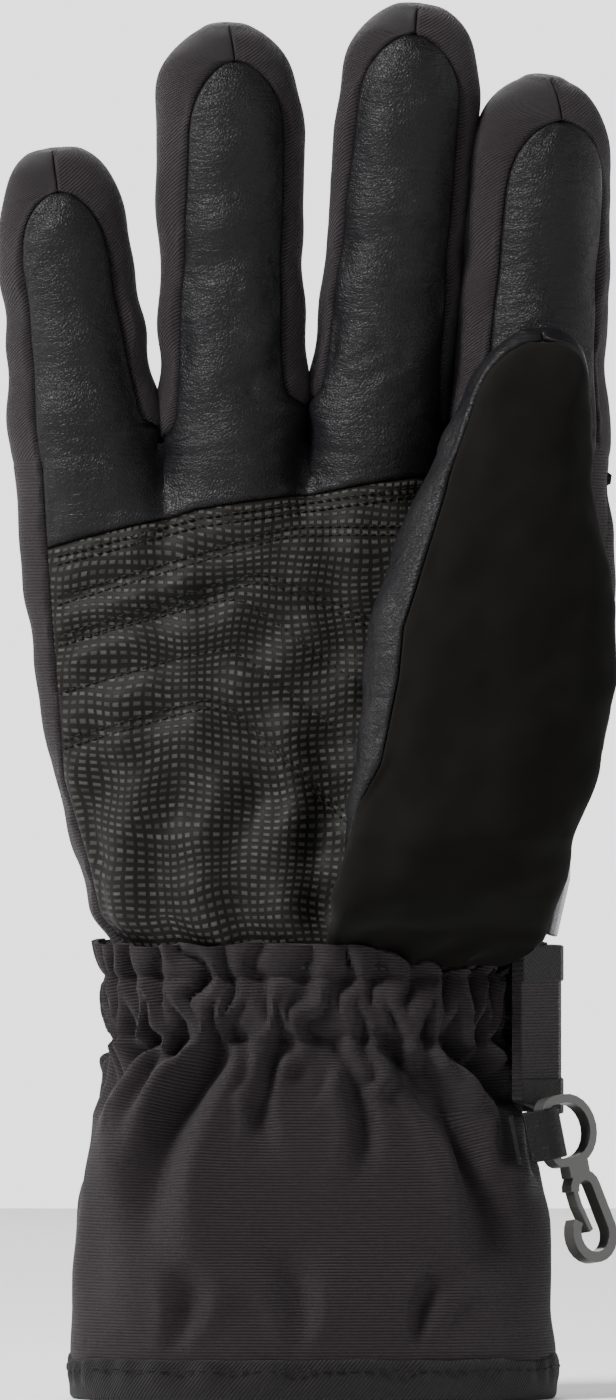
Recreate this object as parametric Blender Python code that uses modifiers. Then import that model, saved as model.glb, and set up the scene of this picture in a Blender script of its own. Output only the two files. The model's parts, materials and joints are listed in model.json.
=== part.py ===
"""Right-hand ski glove, standing on its cuff.

Fingers point up (+Z), the palm faces -Y and the thumb is on the +X side. Lengths are in metres.
The origin is at the middle of the cuff's foot. Every sewn panel, liner, elastic and fitting is its
own closed solid. Panels that are sewn together keep a small gap instead of a seam.
"""

import math
from collections import namedtuple

import bmesh
import bpy
from mathutils import Matrix, Vector

MM = 0.001

# Driving dimensions
HAND_Y = 9.0 * MM  # the plane through the middle of the hand
GAP = 0.35 * MM  # clearance between neighbouring panels
FABRIC = 1.2 * MM  # thickness of the outer fabric or leather
PADDING = 3.0 * MM  # thickness of the insulated liner
LINER_SETBACK = 1.6 * MM  # a liner stops short of the ends of its shell
THUMB_ROOT = 122.0 * MM  # where the moving thumb leaves the thenar panel
THUMB_KNUCKLE = 178.0 * MM
THUMB_SEAM = Vector((40 * MM, HAND_Y - 13 * MM, 175 * MM))  # on the plane between leather and softshell
THUMB_SEAM_TURN = math.radians(18)
THUMB_LINER_CROWN = (225.2 * MM, 6.5 * MM, 5.2 * MM)  # height, half width and half depth
THUMB_PASSAGE = Vector((30 * MM, HAND_Y - 22 * MM, 109 * MM))  # the way from the hand into the thumb
THUMB_PASSAGE_SIZE = (16 * MM, 8.5 * MM, 30 * MM)  # half width, half height and length
JOINT_GAP = 0.8 * MM  # between the two solids of a bending joint
FINGER_DEPTH = 0.88  # a finger's depth over its width
LEATHER_SHARE = 0.72  # half width of the finger leather over the finger's half width
FINGER_SIDES = 16
HAND_SIDES = 28
THUMB_SIDES = 20

Finger = namedtuple("Finger", "name base_x base_z tilt length root_radius tip_radius bend leather_drop")
FINGERS = (
    Finger("index", 47.3 * MM, 208 * MM, 2.5, 76 * MM, 16.4 * MM, 14.0 * MM, 33 * MM, 10.0 * MM),
    Finger("middle", 15.0 * MM, 208 * MM, 5.4, 91.5 * MM, 14.7 * MM, 14.8 * MM, 38 * MM, 6.5 * MM),
    Finger("ring", -15.9 * MM, 208 * MM, -1.0, 87 * MM, 15.4 * MM, 15.4 * MM, 36 * MM, 8.2 * MM),
    Finger("little", -47.5 * MM, 208 * MM, -7.0, 60.5 * MM, 15.3 * MM, 13.3 * MM, 27 * MM, 9.5 * MM),
)
DOME = 20 * MM  # height of a fingertip's dome

# A cross-section of the hand, wrist, cuff or thumb: height, centre, half width, half depth, and the
# power of its superellipse, where 2 is an ellipse and more is squarer.
Section = namedtuple("Section", "z x y half_width half_depth power")


def section(z, x, y, half_width, half_depth, power=2.3):
    return Section(z * MM, x * MM, HAND_Y + y * MM, half_width * MM, half_depth * MM, power)


HAND = (
    section(97.2, 2.6, 0, 47.4, 26.0),
    section(115, 3.1, 0, 52.0, 24.0),
    section(138, 3.6, 0, 59.2, 22.0, 2.4),
    section(160, 3.2, 0, 62.2, 19.8, 2.6),
    section(184, 2.1, 0, 63.4, 17.6, 2.8),
    section(206.0, 0.6, 0, 64.4, 15.8, 3.0),
)
WRIST = (
    section(74.2, 2.2, 0, 43.6, 25.6),
    section(80.0, 2.1, 0, 43.4, 25.6),
    section(86.5, 1.9, 0, 44.2, 25.6),
    section(96.2, 2.6, 0, 47.0, 26.0),
)
CUFF = (
    section(9.4, 1.1, 0, 52.6, 30.2),
    section(25, 1.0, 0, 52.6, 30.0),
    section(38, 1.5, 0, 51.6, 29.4),
    section(50, 1.0, 0, 50.0, 28.6),
    section(61, -0.1, 0, 47.4, 27.0),
    section(73.6, 1.9, 0, 43.8, 25.8),
)
HEM = (
    section(0.0, 1.1, 0, 53.4, 31.2),
    section(8.0, 1.1, 0, 53.4, 31.2),
    section(9.1, 1.1, 0, 52.8, 30.6),
)
THENAR = (
    section(99.6, 28.6, -17.0, 23.4, 12.2, 2.2),
    section(105.0, 29.7, -24.0, 24.1, 13.5, 2.2),
    section(112.0, 31.5, -31.0, 24.8, 14.2, 2.2),
    section(121.0, 33.0, -36.4, 25.2, 14.4, 2.2),
)
THUMB_LOWER = (
    section(122.0, 33.2, -36.6, 25.2, 14.4, 2.2),
    section(137, 36.4, -36.6, 26.2, 14.6, 2.3),
    section(153, 38.6, -36.4, 26.8, 14.8, 2.3),
    section(166, 38.8, -35.6, 26.2, 14.8, 2.3),
    section(178, 40.2, -34.8, 23.0, 14.6, 2.2),
)
THUMB_UPPER = (
    section(178.8, 40.3, -34.7, 22.8, 14.6, 2.2),
    section(197, 42.9, -33.0, 18.4, 13.8, 2.1),
    section(210, 46.1, -31.5, 14.9, 12.8, 2.0),
    section(218.4, 47.6, -30.4, 12.7, 11.0, 2.0),
    section(223.6, 48.7, -29.6, 10.3, 8.6, 2.0),
    section(227.0, 49.2, -29.3, 7.2, 5.8, 2.0),
    section(229.0, 49.3, -29.2, 3.2, 2.6, 2.0),
)

# Wrist strap round the back of the wrist, placed in degrees from +X towards the back
STRAP_LINE = section(79.0, 2.0, 0, 50.1, 29.8)
STRAP_THICK = 2.2 * MM
STRAP_START = -18
STRAP_FOLD = 78
STRAP_END = 137
STRAP_PARTING = 0.7  # half the gap at the fold, in degrees
TAPE_LOW = 70 * MM
TAPE_HIGH = 88 * MM
HOOK_TAPE = (104, 131)  # first and last angle of each tape, in degrees
LOOP_TAPE = (98, 127)
STRAP_LOW = 69.0 * MM
STRAP_HIGH = 89.0 * MM
BINDING = 7.7 * MM
BINDING_PROUD = 0.5 * MM

# Glove clip and the leather tab that holds it
CLIP_AXIS = Vector((50.7 * MM, HAND_Y - 19.4 * MM, 56.9 * MM))  # middle of the ring's straight bar
CLIP_LEAN = math.radians(-11)
CLIP_TURN = math.radians(41)
CLIP_THICK = 3.2 * MM
CLIP_BAR = 1.9 * MM
RING_RADIUS = 7.7 * MM
RING_CORNER = 3.5 * MM
RING_LEFT = 6.6 * MM  # from the ring's centre to the outside of its straight bar
HOOK_BAR = 2.3 * MM
TAB_HEIGHT = 10.8 * MM
TAB_THICK = 1.2 * MM
TAB_FOLD = 2.5 * MM  # inner radius of the fold
TAB_LENGTH = 5.6 * MM
TAB_SLACK = 1.5 * MM  # room to fold before the tab's foot meets its anchor

COLOURS = {
    "rib_fabric": ((0.030, 0.026, 0.029), 0.75),
    "leather": ((0.022, 0.022, 0.023), 0.5),
    "grip_fabric": ((0.013, 0.012, 0.011), 0.6),
    "softshell": ((0.006, 0.006, 0.005), 0.9),
    "liner": ((0.020, 0.020, 0.022), 0.95),
    "elastic": ((0.015, 0.015, 0.015), 0.8),
    "binding": ((0.020, 0.018, 0.019), 0.75),
    "hook_and_loop": ((0.010, 0.010, 0.010), 0.9),
    "clip_plastic": ((0.060, 0.057, 0.055), 0.35),
    "reflective": ((0.350, 0.330, 0.350), 0.4),
}


# ---------------------------------------------------------------- scene helpers


def clear_scene():
    for obj in list(bpy.data.objects):
        bpy.data.objects.remove(obj)


def new_collection(name):
    collection = bpy.data.collections.new(name)
    bpy.context.scene.collection.children.link(collection)
    return collection


def material(name):
    found = bpy.data.materials.get(name)
    if found:
        return found
    colour, roughness = COLOURS[name]
    made = bpy.data.materials.new(name)
    made.use_nodes = True
    shader = made.node_tree.nodes["Principled BSDF"]
    shader.inputs["Base Color"].default_value = (*colour, 1)
    shader.inputs["Roughness"].default_value = roughness
    shader.inputs["Metallic"].default_value = 0
    return made


def empty(name, place, parent=None):
    """A joint's frame, placed by a matrix in its parent's frame."""
    obj = bpy.data.objects.new(name, None)
    obj.empty_display_size = 8 * MM
    GLOVE.objects.link(obj)
    obj.parent = parent
    obj.matrix_basis = place
    return obj


def add_part(name, mesh, colour, parent=None):
    obj = bpy.data.objects.new(name, mesh)
    GLOVE.objects.link(obj)
    obj.parent = parent
    mesh.materials.clear()
    mesh.materials.append(material(colour))
    return obj


def add_cutter(name, mesh, parent=None):
    obj = bpy.data.objects.new("cut_" + name, mesh)
    CUTTERS.objects.link(obj)
    obj.parent = parent
    obj.hide_render = True
    obj.display_type = "WIRE"
    return obj


def solidify(obj, thickness):
    """Thickens an open surface inwards into a closed shell."""
    shell = obj.modifiers.new("wall", "SOLIDIFY")
    shell.thickness = thickness
    shell.offset = -1
    shell.use_even_offset = True
    shell.use_rim = True


def boolean(obj, cutter, operation):
    cut = obj.modifiers.new(operation.lower(), "BOOLEAN")
    cut.operation = operation
    cut.object = cutter
    cut.solver = "EXACT"


def mesh_from(bm, name):
    mesh = bpy.data.meshes.new(name)
    bm.to_mesh(mesh)
    bm.free()
    return mesh


def baked(obj):
    """The object's evaluated mesh. The object is removed."""
    bpy.context.view_layer.update()
    graph = bpy.context.evaluated_depsgraph_get()
    mesh = bpy.data.meshes.new_from_object(obj.evaluated_get(graph))
    bpy.data.objects.remove(obj)
    return mesh


# ---------------------------------------------------------------- shapes


def power_curve(angle, power):
    """Unit superellipse point at an angle."""
    c = math.cos(angle)
    s = math.sin(angle)
    exponent = 2 / power
    return math.copysign(abs(c) ** exponent, c), math.copysign(abs(s) ** exponent, s)


def section_point(part, angle, inset=0.0):
    """Point on a section's outline, moved inwards by inset."""
    c, s = power_curve(angle, part.power)
    x = part.x + (part.half_width - inset) * c
    return Vector((x, part.y + (part.half_depth - inset) * s, part.z))


def trimmed(sections, margin):
    """The same loft, shorter by a margin at both ends."""
    low, high = sections[0].z + margin, sections[-1].z - margin
    inner = [part for part in sections if low < part.z < high]
    return [between(sections, low), *inner, between(sections, high)]


def between(sections, z):
    """The section at height z, linear between its neighbours in the list."""
    for low, high in zip(sections, sections[1:]):
        if z <= high.z:
            break
    share = (z - low.z) / (high.z - low.z)
    return Section(*(a + (b - a) * share for a, b in zip(low, high)))


def loft(sections, sides, inset=0.0, span=None, caps="", origin=Vector()):
    """Open surface through sections, lowest first, facing out.

    span is (start, end) in degrees for part of the way round. caps holds "top" or "bottom" to close.
    """
    bm = bmesh.new()
    start, end = span or (0, 360)
    steps = sides if span is None else sides + 1
    rings = []
    for part in sections:
        ring = []
        for i in range(steps):
            angle = math.radians(start + (end - start) * i / sides)
            ring.append(bm.verts.new(section_point(part, angle, inset) - origin))
        rings.append(ring)
    for low, high in zip(rings, rings[1:]):
        for i in range(sides):
            j = (i + 1) % steps
            bm.faces.new((low[i], low[j], high[j], high[i]))
    if "top" in caps:
        bm.faces.new(rings[-1])
    if "bottom" in caps:
        bm.faces.new(rings[0][::-1])
    return mesh_from(bm, "loft")


def strap_point(angle, offset, z):
    """Point outside the strap's inner face by an offset."""
    return section_point(STRAP_LINE._replace(z=z), angle, -offset)


def strap_band(low, high, inner, outer, start, end, steps):
    """Closed curved band along the strap, between two heights and two offsets from its inner face."""
    bm = bmesh.new()
    rings = []
    for i in range(steps + 1):
        angle = math.radians(start + (end - start) * i / steps)
        corners = []
        for offset, z in ((inner, low), (outer, low), (outer, high), (inner, high)):
            corners.append(bm.verts.new(strap_point(angle, offset, z)))
        rings.append(corners)
    for first, second in zip(rings, rings[1:]):
        for k in range(4):
            m = (k + 1) % 4
            bm.faces.new((first[k], first[m], second[m], second[k]))
    bm.faces.new(rings[0][::-1])
    bm.faces.new(rings[-1])
    bmesh.ops.recalc_face_normals(bm, faces=bm.faces)
    return mesh_from(bm, "band")


def prism(outline, front, back):
    """Closed cutter: an outline of (x, z) points, swept along Y from front to back."""
    bm = bmesh.new()
    bottom = [bm.verts.new((x, front, z)) for x, z in outline]
    face = bm.faces.new(bottom)
    swept = bmesh.ops.extrude_face_region(bm, geom=[face])["geom"]
    moved = [v for v in swept if isinstance(v, bmesh.types.BMVert)]
    bmesh.ops.translate(bm, verts=moved, vec=(0, back - front, 0))
    bmesh.ops.recalc_face_normals(bm, faces=bm.faces)
    return mesh_from(bm, "prism")


def box(size, place):
    bm = bmesh.new()
    bmesh.ops.create_cube(bm, size=1, matrix=place @ Matrix.Diagonal((*size, 1)))
    return mesh_from(bm, "box")


def turned(profile, sides):
    """Open turned surface about Z. The profile of (radius, z) points runs from top to bottom."""
    bm = bmesh.new()
    points = [bm.verts.new((r, 0, z)) for r, z in profile]
    for a, b in zip(points, points[1:]):
        bm.edges.new((a, b))
    obj = bpy.data.objects.new("profile", mesh_from(bm, "profile"))
    CUTTERS.objects.link(obj)
    screw = obj.modifiers.new("turn", "SCREW")
    screw.steps = sides
    screw.render_steps = sides
    screw.use_merge_vertices = True
    screw.merge_threshold = 0.00005
    return baked(obj)


def flat_plate(outlines, thickness, name):
    """Mesh of a flat plate from closed (x, z) outlines, the first one outer and the others holes."""
    curve = bpy.data.curves.new(name, "CURVE")
    curve.dimensions = "2D"
    curve.fill_mode = "BOTH"
    curve.extrude = thickness / 2
    for outline in outlines:
        spline = curve.splines.new("POLY")
        spline.points.add(len(outline) - 1)
        for point, (x, z) in zip(spline.points, outline):
            point.co = (x, z, 0, 1)
        spline.use_cyclic_u = True
    obj = bpy.data.objects.new(name, curve)
    CUTTERS.objects.link(obj)
    mesh = baked(obj)
    bm = bmesh.new()
    bm.from_mesh(mesh)
    bmesh.ops.remove_doubles(bm, verts=bm.verts, dist=0.00001)
    bmesh.ops.rotate(bm, verts=bm.verts, matrix=Matrix.Rotation(math.radians(90), 3, "X"))
    bmesh.ops.recalc_face_normals(bm, faces=bm.faces)
    bm.to_mesh(mesh)
    bm.free()
    return mesh


def arc(centre, radius, start, end, steps):
    """Points (x, z) on an arc, in degrees from +X towards +Z."""
    angles = [math.radians(start + (end - start) * i / steps) for i in range(steps + 1)]
    return [(centre[0] + radius * math.cos(a), centre[1] + radius * math.sin(a)) for a in angles]


def stroke(points, width):
    """Closed outline of a band of constant width along a line of (x, z) points."""
    left, right = [], []
    for i, (x, z) in enumerate(points):
        before = points[max(i - 1, 0)]
        after = points[min(i + 1, len(points) - 1)]
        along = Vector((after[0] - before[0], after[1] - before[1])).normalized()
        left.append((x - along.y * width / 2, z + along.x * width / 2))
        right.append((x + along.y * width / 2, z - along.x * width / 2))
    return left + right[::-1]


# ---------------------------------------------------------------- fingers


def finger_radius(finger, along):
    """A finger's half width at a distance from its base."""
    dome_start = finger.length - DOME
    if along <= dome_start:
        share = along / dome_start
        return finger.root_radius + (finger.tip_radius - finger.root_radius) * share
    rise = min(1.0, (along - dome_start) / DOME)
    return finger.tip_radius * math.sqrt(1 - rise * rise)


def finger_profile(finger, low, high, inset):
    """Radius and height from high to low along the finger, moved inwards by inset."""
    dome_start = finger.length - DOME
    if high < finger.length:
        heights = [high, (low + high) / 2, low]
        return [(finger_radius(finger, z) - inset, z) for z in heights]
    points = []
    for k in range(6):
        angle = math.radians(90 - 18 * k)
        radius = (finger.tip_radius - inset) * math.cos(angle)
        points.append((max(radius, 0.0), dome_start + (DOME - inset) * math.sin(angle)))
    points[0] = (0.0, points[0][1])
    return points + [(finger_radius(finger, low) - inset, low)]


def finger_surface(finger, low, high, inset, hinge_along, hinge_depth):
    """Turned surface, flattened, in the frame of the hinge that carries it."""
    mesh = turned(finger_profile(finger, low, high, inset), FINGER_SIDES)
    shift = Matrix.Translation((0, hinge_depth, -hinge_along))
    mesh.transform(shift @ Matrix.Diagonal((1, FINGER_DEPTH, 1, 1)))
    return mesh


def leather_outline(finger, low, high, hinge_along, grow):
    """Outline of the palm-side leather: parallel sides, and an arch below the fingertip."""
    half = LEATHER_SHARE * (finger.root_radius + finger.tip_radius) / 2 + grow
    bottom = low - hinge_along - 2 * MM
    if high < finger.length:
        top = high - hinge_along + 2 * MM
        return [(-half, bottom), (half, bottom), (half, top), (-half, top)]
    apex = finger.length - finger.leather_drop - hinge_along + grow
    spring = apex - 1.15 * half
    arch = [
        (half * math.cos(math.radians(a)), spring + (apex - spring) * math.sin(math.radians(a)))
        for a in range(0, 181, 20)
    ]
    return [(-half, bottom), (half, bottom)] + arch


def finger_segment(finger, label, low, high, joint, hinge_along):
    """Leather, fabric and liner of one segment, in its joint's frame."""
    depth = FINGER_DEPTH * finger_radius(finger, hinge_along) + GAP
    name = f"{finger.name}_{label}"
    reach = -2 * MM
    limits = (reach, depth - 2 * MM)

    leather = add_part(
        name + "_leather",
        finger_surface(finger, low, high, 0, hinge_along, depth),
        "leather",
        joint,
    )
    solidify(leather, FABRIC)
    inside = prism(leather_outline(finger, low, high, hinge_along, 0), *limits)
    boolean(leather, add_cutter(name + "_leather", inside, joint), "INTERSECT")

    fabric = add_part(
        name + "_fabric",
        finger_surface(finger, low, high, 0, hinge_along, depth),
        "rib_fabric",
        joint,
    )
    solidify(fabric, FABRIC)
    outside = prism(leather_outline(finger, low, high, hinge_along, GAP), reach, limits[1] + GAP)
    boolean(fabric, add_cutter(name + "_fabric", outside, joint), "DIFFERENCE")

    inset = FABRIC + GAP
    liner = add_part(
        name + "_liner",
        finger_surface(finger, low, high, inset, hinge_along, depth),
        "liner",
        joint,
    )
    solidify(liner, PADDING)


def make_finger(finger):
    root_depth = FINGER_DEPTH * finger_radius(finger, 0) + GAP
    bend_depth = FINGER_DEPTH * finger_radius(finger, finger.bend) + GAP
    base = Matrix.Translation((finger.base_x, HAND_Y - root_depth, finger.base_z))
    knuckle = empty(finger.name + "_knuckle", base @ Matrix.Rotation(math.radians(finger.tilt), 4, "Y"))
    step = Matrix.Translation((0, root_depth - bend_depth, finger.bend))
    bend = empty(finger.name + "_bend", step, knuckle)
    finger_segment(finger, "lower", JOINT_GAP / 2, finger.bend - JOINT_GAP / 2, knuckle, 0)
    finger_segment(finger, "tip", finger.bend + JOINT_GAP / 2, finger.length, bend, finger.bend)


# ---------------------------------------------------------------- thumb


def thumb_joint(name, z, sections, parent=None):
    """The hinge lies across the thumb, at the front of its cross-section."""
    part = between(sections, z)
    place = Matrix.Translation((part.x, part.y - part.half_depth - GAP, z))
    if parent:
        place = parent.matrix_basis.inverted() @ place
    return empty(name, place, parent)


def thumb_segment(label, sections, joint, place, closed):
    """Leather towards the palm, softshell on the thumb's back, and a liner inside."""
    origin = place.translation
    caps = "top" if closed else ""
    name = "thumb_" + label
    turn = Matrix.Translation(THUMB_SEAM - origin) @ Matrix.Rotation(THUMB_SEAM_TURN, 4, "Z")
    size = (160 * MM, 36 * MM, 160 * MM)

    leather = add_part(
        name + "_leather", loft(sections, THUMB_SIDES, 0, None, caps, origin), "leather", joint
    )
    solidify(leather, FABRIC)
    boolean(leather, add_cutter(name + "_leather", box(size, turn), joint), "INTERSECT")

    softshell = add_part(
        name + "_softshell", loft(sections, THUMB_SIDES, 0, None, caps, origin), "softshell", joint
    )
    solidify(softshell, FABRIC)
    wider = (size[0], size[1] + 2 * GAP, size[2])
    boolean(softshell, add_cutter(name + "_softshell", box(wider, turn), joint), "DIFFERENCE")

    inner = sections
    if closed:
        height, half_width, half_depth = THUMB_LINER_CROWN
        crown = sections[-3]._replace(z=height, half_width=half_width, half_depth=half_depth)
        inner = [*sections[:-3], crown]
    liner = add_part(
        name + "_liner",
        loft(inner, THUMB_SIDES, FABRIC + GAP, None, caps, origin),
        "liner",
        joint,
    )
    solidify(liner, PADDING)


def make_thumb():
    root = thumb_joint("thumb_root", THUMB_ROOT - JOINT_GAP / 2, THENAR)
    knuckle_z = THUMB_KNUCKLE + JOINT_GAP / 2
    knuckle = thumb_joint("thumb_knuckle", knuckle_z, THUMB_LOWER, root)
    lower_place = root.matrix_basis.copy()
    thumb_segment("lower", THUMB_LOWER, root, lower_place, False)
    thumb_segment("tip", THUMB_UPPER, knuckle, lower_place @ knuckle.matrix_basis, True)


# ---------------------------------------------------------------- hand


def front_outline(grow):
    """Palm side of the hand between its two side seams, as (x, z) points."""
    left = [(-46.0, 90), (-49.5, 115), (-52.5, 138), (-54.5, 168), (-57.5, 204), (-58.0, 215)]
    right = [(61.0, 215), (61.0, 184), (60.0, 165), (56.5, 138), (50.0, 115), (46.5, 90)]
    grown = [(x * MM - grow, z * MM) for x, z in left]
    return grown + [(x * MM + grow, z * MM) for x, z in right]


def grip_line(grow):
    """Top edge of the grip patch, from the little finger's side to the thumb's side."""
    points = [(-70, 180), (-55.3, 183.2), (-24, 190.5), (24, 197.4), (70, 200.5)]
    return [(x * MM, z * MM + grow) for x, z in points]


def hand_panel(name, colour):
    obj = add_part(name, loft(HAND, HAND_SIDES), colour)
    solidify(obj, FABRIC)
    return obj


def make_hand():
    front, seam_back = HAND_Y - 45 * MM, HAND_Y - 4 * MM
    whole = add_cutter("front", prism(front_outline(GAP), front, seam_back + GAP))
    side_seams = add_cutter("side_seams", prism(front_outline(0), front, seam_back))
    upper = [(x, z) for x, z in grip_line(GAP)] + [(80 * MM, 230 * MM), (-80 * MM, 230 * MM)]
    lower = grip_line(0) + [(80 * MM, 80 * MM), (-80 * MM, 80 * MM)]
    above_line = add_cutter("above_line", prism(upper, front, seam_back + MM))
    below_line = add_cutter("below_line", prism(lower, front, seam_back + MM))

    bm = bmesh.new()
    turn = Matrix.Translation(THUMB_PASSAGE) @ Matrix.Rotation(math.radians(90), 4, "X")
    oval = turn @ Matrix.Diagonal((*THUMB_PASSAGE_SIZE, 1))
    bmesh.ops.create_cone(
        bm, segments=20, radius1=1, radius2=1, depth=1, cap_ends=True, matrix=oval
    )
    passage = add_cutter("thumb_passage", mesh_from(bm, "passage"))

    back = hand_panel("hand_back_fabric", "rib_fabric")
    boolean(back, whole, "DIFFERENCE")
    leather = hand_panel("palm_leather", "leather")
    boolean(leather, side_seams, "INTERSECT")
    boolean(leather, above_line, "INTERSECT")
    patch = hand_panel("palm_grip_patch", "grip_fabric")
    boolean(patch, side_seams, "INTERSECT")
    boolean(patch, below_line, "INTERSECT")
    boolean(patch, passage, "DIFFERENCE")
    inner = trimmed(HAND, LINER_SETBACK)
    liner = add_part("hand_liner", loft(inner, HAND_SIDES, FABRIC + 2 * GAP), "liner")
    solidify(liner, PADDING)
    boolean(liner, passage, "DIFFERENCE")

    envelope = add_cutter("hand_envelope", loft(HAND, HAND_SIDES, -GAP, None, "top bottom"))
    thenar = add_part("thenar_softshell", loft(THENAR, THUMB_SIDES), "softshell")
    solidify(thenar, FABRIC)
    boolean(thenar, envelope, "DIFFERENCE")


def make_piping():
    """Reflective piping that sweeps from the wrist strap over the back of the hand."""
    radius = 1.3 * MM
    route = ((99.0, 9), (111, 13), (126, 27), (144, 41), (164, 50), (186, 55), (200, 57))
    knots = []
    for z, degrees in route:
        part = between(HAND, z * MM)
        knots.append(section_point(part, math.radians(degrees), -(radius + 1.0 * MM)))
    curve = bpy.data.curves.new("back_piping", "CURVE")
    curve.dimensions = "3D"
    curve.bevel_depth = radius
    curve.bevel_resolution = 1
    curve.use_fill_caps = True
    spline = curve.splines.new("POLY")
    spline.points.add(len(knots) - 1)
    for point, knot in zip(spline.points, knots):
        point.co = (*knot, 1)
    obj = bpy.data.objects.new("back_piping", curve)
    obj.data.materials.append(material("reflective"))
    GLOVE.objects.link(obj)


# ---------------------------------------------------------------- wrist and cuff


def make_wrist():
    shell = add_part("wrist_fabric", loft(WRIST, HAND_SIDES), "rib_fabric")
    solidify(shell, FABRIC)
    band = 1.0 * MM
    for name, low in (("wrist_elastic_upper", 87.5 * MM), ("wrist_elastic_lower", 74.8 * MM)):
        rings = [between(WRIST, low), between(WRIST, low + 5 * MM)]
        elastic = add_part(name, loft(rings, HAND_SIDES, FABRIC + GAP), "elastic")
        solidify(elastic, band)
    inset = FABRIC + band + 2 * GAP
    inner = trimmed(WRIST, LINER_SETBACK)
    liner = add_part("wrist_liner", loft(inner, HAND_SIDES, inset), "liner")
    solidify(liner, 2 * MM)


def make_cuff():
    shell = add_part("cuff_fabric", loft(CUFF, HAND_SIDES), "rib_fabric")
    solidify(shell, FABRIC)
    lining = add_part("cuff_lining", loft(CUFF, HAND_SIDES, FABRIC + GAP), "liner")
    solidify(lining, MM)
    hem = add_part("hem_binding", loft(HEM, HAND_SIDES), "binding")
    solidify(hem, 3.2 * MM)


def make_strap():
    """Wrist strap: a sewn half and a free flap, each a ribbed band between two bound edges."""
    low_edge = STRAP_LOW - GAP
    high_edge = STRAP_HIGH + GAP
    outside = STRAP_THICK + BINDING_PROUD
    hinge = strap_point(math.radians(STRAP_FOLD), outside, (STRAP_LOW + STRAP_HIGH) / 2)
    fold = empty("strap_fold", Matrix.Translation(hinge))
    halves = (
        ("strap_fixed", STRAP_START, STRAP_FOLD - STRAP_PARTING, None, 12),
        ("strap_flap", STRAP_FOLD + STRAP_PARTING, STRAP_END, fold, 9),
    )
    for name, start, end, joint, steps in halves:
        back = Matrix.Translation(-hinge) if joint else Matrix.Identity(4)
        pieces = (
            ("", STRAP_LOW, STRAP_HIGH, STRAP_THICK, "rib_fabric"),
            ("_binding_lower", low_edge - BINDING, low_edge, outside, "binding"),
            ("_binding_upper", high_edge, high_edge + BINDING, outside, "binding"),
        )
        for label, low, high, outer, colour in pieces:
            mesh = strap_band(low, high, 0, outer, start, end, steps)
            mesh.transform(back)
            add_part(name + label, mesh, colour, joint)
    hooks = strap_band(TAPE_LOW, TAPE_HIGH, -GAP - MM, -GAP, *HOOK_TAPE, 6)
    hooks.transform(Matrix.Translation(-hinge))
    add_part("strap_hook_tape", hooks, "hook_and_loop", fold)
    loops = strap_band(TAPE_LOW, TAPE_HIGH, -3 * MM, -2 * GAP - 1.1 * MM, *LOOP_TAPE, 6)
    add_part("strap_loop_tape", loops, "hook_and_loop")


# ---------------------------------------------------------------- clip


def ring_outline(inset):
    """D-shaped ring: a straight bar on the left, and a half round on the right."""
    radius = RING_RADIUS - inset
    corner = RING_CORNER - inset
    left = -(RING_LEFT - inset) + corner
    points = arc((0, 0), radius, -90, 90, 12)
    points += arc((left, radius - corner), corner, 90, 180, 4)
    points += arc((left, corner - radius), corner, 180, 270, 4)
    return points


def hook_line():
    """Middle line of the hook's bar, from its free end round the bottom and up to the gate."""
    low, low_radius = (1.5 * MM, -22.8 * MM), 5.1 * MM
    high, high_radius = (1.3 * MM, -13.2 * MM), 3.1 * MM
    return arc(low, low_radius, 140, 368, 14) + arc(high, high_radius, 8, 180, 8)


def make_clip():
    """Leather tab, the D-ring and hook in one moulding, and the hook's springy gate."""
    lean = Matrix.Rotation(CLIP_LEAN, 4, "Y")
    tab_root = Matrix.Translation(CLIP_AXIS) @ lean @ Matrix.Translation((-TAB_LENGTH, 0, 0))
    tab_joint = empty("tab_fold", tab_root)
    to_axis = Matrix.Translation((TAB_LENGTH, 0, 0)) @ Matrix.Rotation(CLIP_TURN, 4, "Z")
    clip_joint = empty("clip_swivel", to_axis, tab_joint)

    middle = TAB_FOLD + TAB_THICK / 2
    start = TAB_SLACK
    fold = [(start, middle)] + arc((TAB_LENGTH, 0), middle, 90, -90, 8) + [(start, -middle)]
    tab = flat_plate([stroke(fold, TAB_THICK)], TAB_HEIGHT, "tab")
    tab.transform(Matrix.Rotation(math.radians(-90), 4, "X"))
    add_part("clip_leather_tab", tab, "leather", tab_joint)
    anchor_size = (1.2 * MM, 2 * (TAB_FOLD + TAB_THICK), TAB_HEIGHT)
    anchor = box(anchor_size, Matrix.Translation((-0.6 * MM - GAP, 0, 0)))
    anchor.transform(tab_root)
    add_part("tab_anchor", anchor, "leather")

    bar_centre = RING_LEFT - CLIP_BAR / 2
    ring = flat_plate([ring_outline(0), ring_outline(CLIP_BAR)], CLIP_THICK, "ring")
    hook = flat_plate([stroke(hook_line(), HOOK_BAR)], CLIP_THICK, "hook")
    neck = box((5.6 * MM, CLIP_THICK, 3.6 * MM), Matrix.Translation((0.6 * MM, 0, -8.4 * MM)))
    frame = add_part("clip_frame", ring, "clip_plastic", clip_joint)
    for name, mesh in (("clip_neck", neck), ("clip_hook", hook)):
        boolean(frame, add_cutter(name, mesh, clip_joint), "UNION")
    offset = Matrix.Translation((bar_centre, 0, 0))
    for mesh in (ring, neck, hook):
        mesh.transform(offset)

    pivot = Vector((-1.7 * MM, 0, -13.5 * MM))
    gate_joint = empty("clip_gate_spring", offset @ Matrix.Translation(pivot), clip_joint)
    line = [(-0.1 * MM, -0.2 * MM), (0.3 * MM, -3.5 * MM), (2.4 * MM, -8.6 * MM)]
    gate = flat_plate([stroke(line, 1.3 * MM)], CLIP_THICK * 0.94, "gate")
    add_part("clip_gate", gate, "clip_plastic", gate_joint)


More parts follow.
